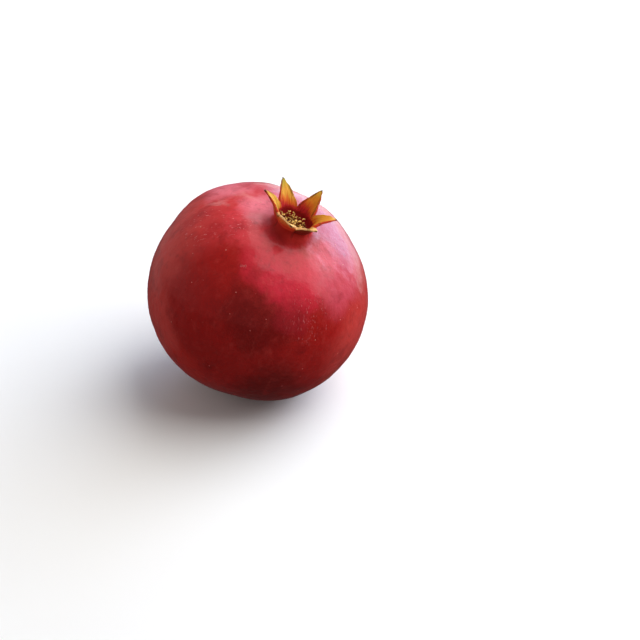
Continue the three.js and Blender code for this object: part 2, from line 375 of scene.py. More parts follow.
@dataclass
class Columns:
    """The columns of the rind's grid, each an array of one number for each column."""

    angle: np.ndarray
    across: np.ndarray
    heading: np.ndarray
    notch: np.ndarray
    rib: np.ndarray
    lobe_number: np.ndarray
    length: np.ndarray
    leaves: np.ndarray
    ends: np.ndarray
    curl: np.ndarray
    strays: np.ndarray


@dataclass
class Steps:
    """How far along its stretch of the rind each row lies, as a column of shares for each stretch.

    Back runs down the lobes' inner faces, from 1 at the margin to 0 at the rim.
    """

    body: np.ndarray
    fillet: np.ndarray
    tube: np.ndarray
    lobe: np.ndarray
    back: np.ndarray
    cup: np.ndarray


@dataclass
class Layout:
    """Spreads values over the rind's points, by the stretch that a point belongs to.

    The rows run from the stalk over the body, the fillet, the tube, the lobes' outer faces, their margins
    and their inner faces, and down the cup. One pole comes before the first row, one after the last.
    """

    rows: Mapping[str, int]
    columns: int

    def spread(self, floor: float = 0.0, **stretches: np.ndarray | float) -> np.ndarray:
        """Spreads values over all points.

        Args:
            floor: the value of the last pole, in the middle of the cup's floor.
            **stretches: what each stretch is given: one value, or one for each row or column. The others
                are given 0.

        Returns:
            One number for each point.
        """
        parts = [
            np.broadcast_to(stretches.get(name, 0.0), (number, self.columns)).ravel()
            for name, number in self.rows.items()
        ]
        return np.concatenate([[0.0], *parts, [floor]])

    def by_column(self, values: np.ndarray) -> np.ndarray:
        """Gives every point its column's value, and the poles 0."""
        return self.spread(**{name: values for name in self.rows})


@dataclass
class Pose:
    """How the fruit lies: it leans from the vertical, and was turned about its own axis first (degrees)."""

    lean: float = 22.8
    lean_towards: float = -36.8
    spin: float = -17.4
    crown_pivot: float = 43.5
    crown_bend: float = 13.4
    middle: Vector = Vector((0.0, 0.0, 0.0))

    def turn(self) -> Quaternion:
        """The turn from the fruit's own axes to the frame's."""
        towards = math.radians(self.lean_towards)
        tilt = Quaternion((-math.sin(towards), math.cos(towards), 0), math.radians(self.lean))
        return tilt @ Quaternion((0, 0, 1), math.radians(self.spin))

    def axis_frame(self) -> Matrix:
        """The matrix from the fruit's own axes, in metres, to the frame."""
        return Matrix.Translation(self.middle) @ self.turn().to_matrix().to_4x4()

    def crown_frame(self) -> Matrix:
        """The matrix from the crown's axes, with their origin at its pivot, to the frame."""
        pivot = Matrix.Translation((0, 0, self.crown_pivot * MM))
        return self.axis_frame() @ pivot @ Matrix.Rotation(-math.radians(self.crown_bend), 4, "X")


@dataclass
class Rind:
    """The leathery fruit and the crown that it grew, as one closed skin (mm and degrees)."""

    pose: Pose
    diameter: float = 96.0
    crown_flattening: Dip = Dip(3.2, 28)
    stalk_flattening: Dip = Dip(1.5, 50)
    stalk_dimple: Dip = Dip(2.3, 9)
    rib_height: float = 0.45
    swellings: tuple[Swelling, ...] = (
        Swelling(158, 64, 2.0, 17),
        Swelling(125, 50, 1.3, 30),
        Swelling(279, 132, -2.1, 30),
        Swelling(355, 84, 0.9, 28),
        Swelling(60, 115, -0.7, 32),
    )
    rest_softness: float = 0.45
    neck_start: float = 16.0
    neck_radius: float = 8.3
    neck_height: float = 47.2
    rim_radius: float = 9.2
    rim_height: float = 48.9
    wall: float = 1.6
    cup_floor: float = 43.0
    cup_squareness: float = 2.6
    crown_ribbing: float = 0.03
    lobe_pointedness: float = 1.5
    tip_thickness: float = 0.6
    # The share of a lobe's half width beside each notch that takes on the shape of both its lobes.
    notch_blend: float = 0.2
    lobes: tuple[Lobe, ...] = (
        Lobe(14, 10.0, 2, 88, 0.8, 0.9, 0.8, olive=0.15, blush=0.3, amber=0.6, pale=0.35, back_shade=0.3),
        Lobe(70, 12.2, 22, 49, 1.0, 0.6, 0.5, olive=0.45, blush=0.95, amber=0.85, pale=0.12),
        Lobe(132, 12.4, 34, 70, 0.9, -0.4, 0.9, olive=1.0, blush=0.7, amber=0.4, pale=0.3),
        Lobe(190, 10.9, 18, 66, 0.9, 0.1, 2.6, olive=0.1, blush=0.1, amber=0.2, pale=0.3, back_shade=0.3),
        Lobe(252, 7.0, 28, 68, 1.2, 5.0, 0.6, olive=0.2, blush=0.3, amber=0.3, pale=1.0),
        Lobe(315, 4.8, 14, 66, 1.0, 2.2, 1.0, olive=0.35, blush=0.2, amber=0.2, pale=1.0, back_shade=0.9),
    )
    columns_per_lobe: int = 60
    body_rows: int = 130
    fillet_rows: int = 16
    tube_rows: int = 8
    lobe_rows: int = 26
    margin_rows: int = 3
    cup_rows: int = 20
    curl_steps: int = 12
    reliefs: tuple[Relief, ...] = (
        Relief("Undulation", 0.28, 15.0),
        Relief("Pebbling", 0.05, 2.6),
        Relief("Lobe Wrinkle", 0.22, 1.0, on_lobes=True),
    )
    relief_detail: float = 2.0
    # The skin's relief sets in between these heights above the table.
    relief_starts: Span = (0.5, 6.0)
    # A streak's unit is so broad round the girth and so long. At the ends this share of them is left.
    streak_width: float = 2.0
    streak_length: float = 7.0
    streaks_at_ends: float = 0.4
    # Fibres run along the lobes and are drawn out so many times. Each lobe has a part of them of its own.
    lobe_half_width: float = 5.5
    tube_length: float = 2.0
    fibre_stretch: float = 6.0
    fibre_shift: float = 9.0
    # Where a lobe's margin starts to round off, the band along it, and how the lobe narrows to its tip.
    margin_start: float = 0.9
    margin_band: float = 1.3
    margin_half_width: float = 5.0
    margin_narrowing: float = 0.4
    margin_tip_slope: float = 0.55
    root_share: float = 0.15
    stalk_reach: float = 0.0

    def columns(self) -> Columns:
        """Spreads the grid's columns over the lobes.

        Returns:
            The columns. Across is -1 and 1 at a lobe's notches, and 0 at its middle.
        """
        half = self.columns_per_lobe // 2
        share = np.arange(-half, half) / half
        rows: list[np.ndarray] = []
        for n, lobe in enumerate(self.lobes):
            before = self.lobes[n - 1]
            after = self.lobes[(n + 1) % len(self.lobes)]
            turn_back = ((lobe.at - before.at) % 360) / 2
            turn_on = ((after.at - lobe.at) % 360) / 2
            turn = share * np.where(share < 0, turn_back, turn_on)
            # Beside a notch, a column takes on the shape of both lobes and heads straight out.
            edge = np.clip((np.abs(share) - (1 - self.notch_blend)) / self.notch_blend, 0, 1)
            shape = {}
            for name in ("leaves", "ends", "curl", "strays"):
                beside = np.where(share < 0, getattr(before, name), getattr(after, name))
                shape[name] = getattr(lobe, name) + (beside - getattr(lobe, name)) * edge / 2
            values = [
                np.radians(lobe.at + turn),
                share,
                np.radians(lobe.at + turn * edge),
                np.where(share < 0, before.notch, lobe.notch),
                share * math.pi,
                np.full_like(share, n),
                np.full_like(share, lobe.length),
                np.radians(shape["leaves"]),
                np.radians(shape["ends"]),
                shape["curl"],
                shape["strays"],
            ]
            rows.append(np.stack(values))
        return Columns(*np.concatenate(rows, axis=1))

    def body_radius(self, columns: Columns, down: np.ndarray) -> np.ndarray:
        """Works out how far the body's skin is from its middle.

        Args:
            columns: the grid's columns.
            down: angles in radians from the crown's end of the axis, as a column.

        Returns:
            The radius, as rows and columns.
        """
        radius = np.full(np.broadcast_shapes(columns.angle.shape, down.shape), self.diameter / 2)
        for swelling in self.swellings:
            around, below = math.radians(swelling.around), math.radians(swelling.down)
            cosine = np.cos(down) * math.cos(below)
            cosine = cosine + np.sin(down) * math.sin(below) * np.cos(columns.angle - around)
            apart = np.arccos(np.clip(cosine, -1, 1)) / math.radians(swelling.spread)
            radius += swelling.height * np.exp(-(apart**2))
        radius += self.rib_height * np.sin(down) * np.cos(down / 2) ** 2 * np.cos(columns.rib)
        radius -= self.crown_flattening.at(down)
        radius -= self.stalk_flattening.at(math.pi - down) + self.stalk_dimple.at(math.pi - down)
        return radius

    def body_points(self, columns: Columns, down: np.ndarray) -> np.ndarray:
        """Points of the body, in the fruit's own axes."""
        radius = self.body_radius(columns, down)
        return meridian(columns.angle, radius * np.sin(down), radius * np.cos(down))

    def ribbed(self, columns: Columns, radius: np.ndarray | float) -> np.ndarray:
        """The crown's wall bulges a little behind each lobe."""
        return radius * (1 + self.crown_ribbing * np.cos(columns.rib))

    def fillet_points(self, columns: Columns, t: np.ndarray) -> np.ndarray:
        """The curve from the body's shoulder up into the neck, tangent to both.

        Args:
            columns: the grid's columns.
            t: from the shoulder (0) to the neck (1), as a column.

        Returns:
            Points as rows and columns.
        """
        start_angle = math.radians(self.neck_start)
        shoulder = self.body_points(columns, np.full((1, 1), start_angle))
        start_radius = np.hypot(shoulder[..., 0], shoulder[..., 1])
        start_height = shoulder[..., 2]
        end_radius = self.ribbed(columns, self.neck_radius)
        corner_height = start_height + (start_radius - end_radius) * math.tan(start_angle)
        first, middle, last = (1 - t) ** 2, 2 * t * (1 - t), t**2
        radius = first * start_radius + (middle + last) * end_radius
        height = first * start_height + middle * corner_height + last * self.neck_height
        return meridian(columns.angle, radius, height)

    def tube_points(self, columns: Columns, t: np.ndarray | float) -> np.ndarray:
        """The tube's outer wall, from the neck (0) to the notches (1)."""
        radius = self.neck_radius + (self.rim_radius - self.neck_radius) * t * t
        height = self.neck_height + (self.rim_height - self.neck_height) * t
        return meridian(columns.angle, self.ribbed(columns, radius), height)

    def reach(self, columns: Columns) -> np.ndarray:
        """How far along its lobe each column goes: least at a notch, most at the tip."""
        share = (1 - np.abs(columns.across)) ** (1 / self.lobe_pointedness)
        return columns.notch + (columns.length - columns.notch) * share

    def lobe_points(self, columns: Columns, along: np.ndarray, depth: float) -> np.ndarray:
        """Points of the lobes.

        Args:
            columns: the grid's columns.
            along: from the rim (0) to the margin (1), as a column.
            depth: through the lobe from its outer face (0) to its inner face (1).

        Returns:
            Points as rows and columns.
        """
        distance = along * self.reach(columns)
        share = distance / columns.length
        out, up = np.zeros_like(share), np.zeros_like(share)
        for i in range(self.curl_steps):
            at = (i + 0.5) / self.curl_steps * share
            flare = columns.leaves + (columns.ends - columns.leaves) * at**columns.curl
            out += np.sin(flare) * distance / self.curl_steps
            up += np.cos(flare) * distance / self.curl_steps
        flare = columns.leaves + (columns.ends - columns.leaves) * share**columns.curl
        thickness = (self.wall + (self.tip_thickness - self.wall) * share) * depth
        sideways = meridian(columns.heading + math.pi / 2, columns.strays * share**2, np.zeros_like(share))
        points = self.tube_points(columns, 1.0) + meridian(columns.heading, out, up) + sideways
        return points + meridian(columns.angle, -thickness * np.cos(flare), thickness * np.sin(flare))

    def margin_points(self, columns: Columns) -> np.ndarray:
        """The rows that round off the lobes' margins, from the outer face to the inner face.

        Args:
            columns: the grid's columns.

        Returns:
            Points as rows and columns.
        """
        whole = np.ones((1, 1))
        outer = self.lobe_points(columns, whole, 0)
        inner = self.lobe_points(columns, whole, 1)
        before = self.lobe_points(columns, self.margin_start * whole, 0.5)
        middle = (outer + inner) / 2
        onward = middle - before
        onward /= np.linalg.norm(onward, axis=-1, keepdims=True)
        # It bulges by a third of its thickness.
        bulge = np.linalg.norm(outer - inner, axis=-1, keepdims=True) / 3
        turns = [math.pi * i / (self.margin_rows + 1) for i in range(1, self.margin_rows + 1)]
        rows = [middle + (outer - middle) * math.cos(a) + onward * bulge * math.sin(a) for a in turns]
        return np.concatenate(rows)

    def cup_points(self, columns: Columns, t: np.ndarray) -> np.ndarray:
        """The cup's wall, which falls steeply from the rim and rounds off into its floor.

        Args:
            columns: the grid's columns.
            t: from the rim (0) to the middle of the floor (1), as a column.

        Returns:
            Points as rows and columns.
        """
        rim = self.lobe_points(columns, np.zeros((1, 1)), 1)
        radius = np.hypot(rim[..., 0], rim[..., 1])
        turn = t * math.pi / 2
        fall = np.sin(turn) ** (2 / self.cup_squareness)
        narrow = np.clip(np.cos(turn), 0, 1) ** (2 / self.cup_squareness)
        return meridian(columns.angle, radius * narrow, rim[..., 2] + (self.cup_floor - rim[..., 2]) * fall)

    def bend(self, points: np.ndarray, share: np.ndarray | float = 1.0) -> np.ndarray:
        """Bends points above the shoulder with the crown.

        Args:
            points: what is bent, in the fruit's own axes.
            share: how much of the bend they take, 0 on the body and 1 on the tube.

        Returns:
            The bent points.
        """
        turn = -math.radians(self.pose.crown_bend) * share
        y, z = points[..., 1], points[..., 2] - self.pose.crown_pivot
        turned = [points[..., 0], y * np.cos(turn) - z * np.sin(turn), y * np.sin(turn) + z * np.cos(turn)]
        turned[2] = turned[2] + self.pose.crown_pivot
        return np.stack(turned, axis=-1)

    def pressed(self, height: np.ndarray) -> np.ndarray:
        """Rind that would lie below the table is pressed flat on it, with a soft turn at the edge."""
        soft = self.rest_softness * MM
        turned = (height + soft) ** 2 / (4 * soft)
        return np.where(height >= soft, height, np.where(height <= -soft, 0.0, turned))

    def placed(self, points: np.ndarray) -> np.ndarray:
        """Moves points to where the frame's fruit lies.

        The first call, with the whole grid, also finds the fruit's middle.

        Args:
            points: points in the fruit's own axes, in mm.

        Returns:
            The same points in the frame, in metres.
        """
        turn = np.array(self.pose.turn().to_matrix())
        turned = points @ turn.T * MM
        if not self.pose.middle.length:
            low, high = (np.array(corner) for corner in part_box("fruit"))
            flat = turned.reshape(-1, 3)
            least, most = flat.min(0), flat.max(0)
            middle = (low + high - least - most) / 2
            middle[2] = high[2] - most[2]
            self.pose.middle = Vector(middle)
        turned = turned + np.array(self.pose.middle)
        turned[..., 2] = self.pressed(turned[..., 2])
        return turned

    def build(self) -> bpy.types.Object:
        """Makes the rind's mesh and keeps on it what its finish is laid out by.

        Returns:
            The rind, in place, with its relief and its finish.
        """
        columns = self.columns()
        steps = Steps(
            body=shares(self.body_rows),
            fillet=shares(self.fillet_rows),
            tube=shares(self.tube_rows),
            lobe=shares(self.lobe_rows),
            back=1 - shares(self.lobe_rows, 0),
            cup=shares(self.cup_rows)[:-1],
        )
        down = math.pi + (math.radians(self.neck_start) - math.pi) * steps.body
        stretches = {
            "body": self.body_points(columns, down),
            "fillet": self.bend(self.fillet_points(columns, steps.fillet), smooth(steps.fillet, 0, 1)),
            "tube": self.bend(self.tube_points(columns, steps.tube)),
            "outer": self.bend(self.lobe_points(columns, steps.lobe, 0)),
            "margin": self.bend(self.margin_points(columns)),
            "inner": self.bend(self.lobe_points(columns, steps.back, 1)),
            "cup": self.bend(self.cup_points(columns, steps.cup)),
        }
        grid = np.concatenate(list(stretches.values()))
        self.stalk_reach = float(self.body_radius(columns, np.full((1, 1), math.pi))[0, 0])
        stalk_end = np.array([0.0, 0.0, -self.stalk_reach])
        cup_middle = self.bend(np.array([0.0, 0.0, self.cup_floor]))
        mesh = closed_mesh("rind", self.placed(grid), *self.placed(np.array([stalk_end, cup_middle])))
        layout = Layout({name: len(points) for name, points in stretches.items()}, len(columns.angle))
        self.store_zones(mesh, columns, steps, layout)
        self.store_lobes(mesh, columns, steps, layout)
        self.store_directions(mesh, np.concatenate([[stalk_end], grid.reshape(-1, 3), [cup_middle]]))
        return self.with_relief(as_object(mesh))

    def store_zones(self, mesh: bpy.types.Mesh, columns: Columns, steps: Steps, layout: Layout) -> None:
        """Keeps on the mesh which part of the fruit each point belongs to, and how far along it is.

        Args:
            mesh: the rind's mesh.
            columns: the grid's columns.
            steps: how far along its stretch each row lies.
            layout: what spreads values over the grid.
        """
        reached = self.reach(columns) / columns.length
        outer_near = self.margin_nearness(columns, steps.lobe)
        inner_near = np.concatenate([np.ones((1, layout.columns)), outer_near[::-1]])
        crown = {name: 1.0 for name in ("tube", "outer", "margin", "inner", "cup", "floor")}
        lobes = {"outer": steps.lobe * reached, "margin": reached, "inner": steps.back * reached}
        zones = {
            "tube": layout.spread(fillet=smooth(steps.fillet, 0, 1), **crown),
            "along_lobe": layout.spread(**lobes),
            "lobe_zone": layout.spread(outer=steps.lobe**0.5, margin=1.0, inner=1.0),
            "wall_rise": layout.spread(tube=steps.tube, outer=1.0, margin=1.0, inner=1.0),
            "inner_face": layout.spread(margin=0.5, inner=1.0, cup=1.0, floor=1.0),
            "margin": layout.spread(outer=outer_near, margin=1.0, inner=inner_near),
            "cup_depth": layout.spread(cup=steps.cup, floor=1.0),
            "across_lobe": layout.by_column(columns.across),
        }
        for name, values in zones.items():
            store(mesh, name, values)

    def store_lobes(self, mesh: bpy.types.Mesh, columns: Columns, steps: Steps, layout: Layout) -> None:
        """Keeps on the mesh each lobe's own tints, how much painted shade darkens its back, and how its
        fibres run.

        Args:
            mesh: the rind's mesh.
            columns: the grid's columns.
            steps: how far along its stretch each row lies.
            layout: what spreads values over the grid.
        """
        numbers = columns.lobe_number.astype(int)
        tints = {
            name: layout.by_column(np.array([getattr(lobe, name) for lobe in self.lobes])[numbers])
            for name in ("olive", "blush", "amber", "pale", "back_shade")
        }
        store(mesh, "lobe_tint", np.stack([tints[name] for name in ("olive", "blush", "amber")], axis=1))
        store(mesh, "pale_margin", tints["pale"])
        store(mesh, "painted_back_shade", tints["back_shade"])
        reach = self.reach(columns)
        along = layout.spread(
            tube=self.tube_length * steps.tube,
            outer=self.tube_length + steps.lobe * reach,
            margin=self.tube_length + reach,
            inner=self.tube_length + steps.back * reach,
            cup=self.tube_length * steps.cup,
        )
        across = layout.by_column(columns.across * self.lobe_half_width)
        number = layout.by_column(columns.lobe_number * self.fibre_shift)
        store(mesh, "lobe_grain", np.stack([across, along / self.fibre_stretch, number], axis=1))

    def store_directions(self, mesh: bpy.types.Mesh, own: np.ndarray) -> None:
        """Keeps on the mesh each point's direction from the fruit's middle, and how streaks run there.

        Args:
            mesh: the rind's mesh.
            own: its points, in the fruit's own axes.
        """
        direction = own / np.linalg.norm(own, axis=1, keepdims=True)
        store(mesh, "direction", direction)
        around = np.arctan2(own[:, 1], own[:, 0])
        arc = np.arccos(np.clip(direction[:, 2], -1, 1)) * self.diameter / 2
        girth = np.sqrt(1 - direction[:, 2] ** 2)
        left = self.streaks_at_ends + (1 - self.streaks_at_ends) * girth
        spread = self.diameter / 2 / self.streak_width * left
        places = [spread * np.cos(around), spread * np.sin(around), arc / self.streak_length]
        store(mesh, "streak_place", np.stack(places, axis=1))

    def margin_nearness(self, columns: Columns, along: np.ndarray) -> np.ndarray:
        """Works out how near each point of a lobe's face is to its margin.

        Args:
            columns: the grid's columns.
            along: from the rim (0) to the margin (1), as a column.

        Returns:
            1 at the margin and 0 a band's width away, as rows and columns.
        """
        reach = self.reach(columns)
        side = (1 - np.abs(columns.across)) * self.margin_half_width
        side = np.maximum(side - (along * reach - columns.notch) * self.margin_narrowing, 0)
        # The root of a lobe goes on into the wall, so it has no margin at its sides.
        side = np.where(along < self.root_share, side + self.margin_half_width, side)
        distance = np.minimum((1 - along) * reach * self.margin_tip_slope, side)
        return np.clip(1 - distance / self.margin_band, 0, 1)

    def with_relief(self, rind: bpy.types.Object) -> bpy.types.Object:
        """Raises the skin's undulations, its pebbling and the lobes' wrinkles, and gives it its finish.

        Args:
            rind: the smooth rind.

        Returns:
            The same rind, with a plain new mesh.
        """
        values: dict[str, float] = {}
        for relief in self.reliefs:
            values[f"{relief.name} Height"] = relief.height * MM
            values[f"{relief.name} Size"] = relief.size * MM
        tree = geometry_tree("skin relief", values)
        given = add_node(tree, "NodeGroupInput").outputs
        kept = {
            name: add_node(tree, "GeometryNodeInputNamedAttribute", {"Name": name}, data_type=kind)
            for name, kind in (("tube", "FLOAT"), ("lobe_zone", "FLOAT"), ("lobe_grain", "FLOAT_VECTOR"))
        }
        place = add_node(tree, "GeometryNodeInputPosition")
        height = add_node(tree, "ShaderNodeSeparateXYZ", {0: place}).outputs["Z"]
        limits = {0: height, 1: self.relief_starts[0] * MM, 2: self.relief_starts[1] * MM}
        free = add_node(tree, "ShaderNodeMapRange", limits, interpolation_type="SMOOTHSTEP")
        body = add_node(tree, "ShaderNodeMath", {0: 1.0, 1: kept["tube"]}, operation="SUBTRACT")
        body = add_node(tree, "ShaderNodeMath", {0: body, 1: free}, operation="MULTIPLY")
        grain = {0: kept["lobe_grain"], "Scale": MM}
        grain_place = add_node(tree, "ShaderNodeVectorMath", grain, operation="SCALE")
        total: Any = 0.0
        for relief in self.reliefs:
            where, mask = (grain_place, kept["lobe_zone"]) if relief.on_lobes else (place, body)
            high, broad = given[f"{relief.name} Height"], given[f"{relief.name} Size"]
            scale = add_node(tree, "ShaderNodeMath", {0: 1.0, 1: broad}, operation="DIVIDE")
            waves = {"Vector": where, "Scale": scale, "Detail": self.relief_detail}
            noise = add_node(tree, "ShaderNodeTexNoise", waves)
            span = {0: noise, 1: NOISE_LOW, 2: NOISE_HIGH, 3: -1.0, 4: 1.0}
            rise = add_node(tree, "ShaderNodeMapRange", span)
            rise = add_node(tree, "ShaderNodeMath", {0: rise, 1: high}, operation="MULTIPLY")
            total = add_node(tree, "ShaderNodeMath", {0: rise, 1: mask, 2: total}, operation="MULTIPLY_ADD")
        normal = add_node(tree, "GeometryNodeInputNormal")
        offset = add_node(tree, "ShaderNodeVectorMath", {0: normal, "Scale": total}, operation="SCALE")
        moved = add_node(tree, "GeometryNodeSetPosition", {"Geometry": given["Geometry"], "Offset": offset})
        end_tree(tree, moved, RindFinish().build())
        return run_geometry_nodes(rind, tree, values)


# ---- Finishes ----


@dataclass(frozen=True)
class Pattern:
    """An uneven pattern: how broad its patches are in mm, and how fine and how strong its detail is."""

    size: float
    detail: float = 2.0
    roughness: float = 0.5

    def on(self, where: NodeInput, millimetre: float = MM) -> NodeInputs:
        """What a noise takes to show the pattern.

        Args:
            where: the coordinates that it is laid out on.
            millimetre: how far a millimetre reaches in them.

        Returns:
            The noise's inputs.
        """
        scale = 1 / (self.size * millimetre)
        return {"Vector": where, "Scale": scale, "Detail": self.detail, "Roughness": self.roughness}


@dataclass(frozen=True)
class Fade:
    """A mask that rises smoothly from 0 to a share while a value goes from low to high.

    High may lie below low.
    """

    value: NodeInput
    low: float
    high: float
    share: float = 1.0


@dataclass(frozen=True)
class Tone:
    """A colour that follows a value: it starts where that is low and is full where it is high.

    The full colour covers a share of what is under it.
    """

    colour: str
    low: float = 0.0
    high: float = 1.0
    share: float = 1.0


class Painter:
    """Lays colours over one another in a new material, and gives them to its shader."""

    def __init__(self, name: str, base: str) -> None:
        """Starts a material with a base colour.

        Args:
            name: the material's name.
            base: the colour under all others, as sRGB hex.
        """
        self.material = bpy.data.materials.new(name)
        self.material.use_nodes = True
        self.tree = self.material.node_tree
        self.shader = self.tree.nodes["Principled BSDF"]
        self.colour: Any = linear(base)

    def node(self, kind: str, inputs: NodeInputs | None = None, **settings: Any) -> bpy.types.Node:
        """Adds a node to this material, as add_node does."""
        return add_node(self.tree, kind, inputs, **settings)

    def mask(self, *parts: Fade | NodeInput) -> bpy.types.Node:
        """Multiplies masks, so that the result is full only where all of them are.

        Args:
            *parts: fades, nodes and outputs of nodes.

        Returns:
            The product.
        """
        product: Any = None
        for part in parts:
            factor: Any = part
            if isinstance(part, Fade):
                limits = {0: part.value, 1: part.low, 2: part.high, 3: 0.0, 4: part.share}
                factor = self.node("ShaderNodeMapRange", limits, interpolation_type="SMOOTHSTEP")
            if product is not None:
                factor = self.node("ShaderNodeMath", {0: product, 1: factor}, operation="MULTIPLY")
            product = factor
        return product

    def cover(self, tone: Tone, follows: Fade | NodeInput, *within: Fade | NodeInput) -> None:
        """Lays a tone over what is there.

        Args:
            tone: the colour and its limits.
            follows: the value that the limits are meant for.
            *within: masks that the colour stays within.
        """
        value = self.mask(follows)
        spread = Fade(value, tone.low, tone.high, tone.share)
        if within:
            held = self.mask(*within, Fade(value, tone.low, tone.high))
            spread = Fade(held, 0.0, 1.0, tone.share)
        layers = {0: self.mask(spread), 1: self.colour, 2: linear(tone.colour)}
        self.colour = self.node("ShaderNodeMix", layers, data_type="RGBA")

    def finish(
        self,
        followed: Mapping[str, bpy.types.Node],
        bumps: Sequence[tuple[bpy.types.Node, float]],
        **constants: float,
    ) -> bpy.types.Material:
        """Connects the colours, the bumps and the rest to the shader.

        Args:
            followed: sockets of the shader, by name, and the node that each follows.
            bumps: heights between 0 and 1 and the mm that each stands for, the broadest first.
            **constants: sockets of the shader that are the same all over, with _ for each space.

        Returns:
            The finished material.
        """
        normal: Any = None
        for height, millimetres in bumps:
            under = {"Normal": normal} if normal else {}
            raised = {"Height": height, "Strength": 1.0, "Distance": millimetres * MM}
            normal = self.node("ShaderNodeBump", {**raised, **under})
        for name, node in {"Base Color": self.colour, "Normal": normal, **followed}.items():
            self.tree.links.new(first_output(node), self.shader.inputs[name])
        for name, value in constants.items():
            self.shader.inputs[name.replace("_", " ")].default_value = value
        return self.material


@dataclass(frozen=True)
class Blush:
    """A broad patch of colour on the rind, round one direction from the fruit's middle (degrees)."""

    around: float
    down: float
    reach: float
    colour: str
    share: float = 1.0
    core: float = 0.0

    def middle(self) -> tuple[float, float, float]:
        """The direction of its middle, in the fruit's own axes."""
        a, d = math.radians(self.around), math.radians(self.down)
        return math.sin(d) * math.cos(a), math.sin(d) * math.sin(a), math.cos(d)


@dataclass(frozen=True)
class LobeTones:
    """Half-dried lobes: to the eye stiff leather, red at the root, then orange, amber and olive.

    Their tips are dry and dark, and their worn edges pale. Painted shade darkens the backs of some lobes,
    the creases below the notches and the cup towards its floor. The limits of the tones that run along a lobe
    are shares of its length.
    """

    outer_root: Tone = Tone("#e8482c", 0.1, 0.9, 0.9)
    outer: tuple[Tone, ...] = (
        Tone("#e8502a", -0.2, 0.1, 0.9),
        Tone("#f0823c", 0.0, 0.3, 0.9),
        Tone("#c8883c", 0.6, 1.0, 0.9),
    )
    # Painted shade on the backs of some lobes and on the wall below them.
    painted_back_shade: Tone = Tone("#7a1c16", 0.0, 0.5, 0.9)
    inner: Tone = Tone("#d6a13c")
    orange: Tone = Tone("#d0761c", 1.0, 0.62, 0.95)
    greens: tuple[Tone, ...] = (
        Tone("#b9972c", 0.5, 0.85, 0.9),
        Tone("#8d9a2c", 0.75, 1.0, 0.55),
    )
    red_roots: tuple[Tone, ...] = (
        Tone("#cc5c1c", -0.26, 0.06, 0.9),
        Tone("#b83420", -0.04, 0.16, 0.95),
        Tone("#a41c20", 0.08, 0.26, 0.9),
    )
    fibres: Tone = Tone("#7a4a18", 0.5, 0.8, 0.35)
    pale_edge: Tone = Tone("#f0c07c", 0.3, 0.8, 0.85)
    dark_edge: Tone = Tone("#7a2c14", 0.72, 1.0, 0.5)
    frayed_edge: Tone = Tone("#6a3a18", 0.5, 0.95, 0.5)
    dry_tip: Tone = Tone("#3d2814", 0.88, 0.99, 0.8)
    # Painted shade in the creases below the notches.
    crease_shade: Tone = Tone("#54120e", 0.82, 1.0, 0.5)
    inside_root: Tone = Tone("#a82022", 0.1, 0.02, 0.9)
    # The cup's deep red, then painted shade that darkens it towards its floor.
    cup: tuple[Tone, ...] = (
        Tone("#9c1e20", 0.0, 0.12, 0.9),
        Tone("#480c10", 0.15, 0.6, 0.85),
    )
    # Where a mask over a lobe starts and where it is full. A face is 0 outside, 1 inside.
    outer_face: Span = (0.5, 0.2)
    inner_face: Span = (0.5, 0.9)
    worn_face: Span = (0.1, 0.5)
    crease_face: Span = (0.5, 0.1)
    cup_face: Span = (0.6, 0.95)
    crease_wall: Span = (0.4, 0.9)
    unworn: Span = (0.5, 0.1)
    frayed: Span = (0.52, 0.6)
    # How far the fibres carry the tones along a lobe, and how a red root depends on the side of the lobe.
    fibre_stray: float = 0.55
    root_lean: float = 0.14
    root_length: float = 0.3
    fibre_pattern: Pattern = Pattern(1.25, 4.0, 0.55)


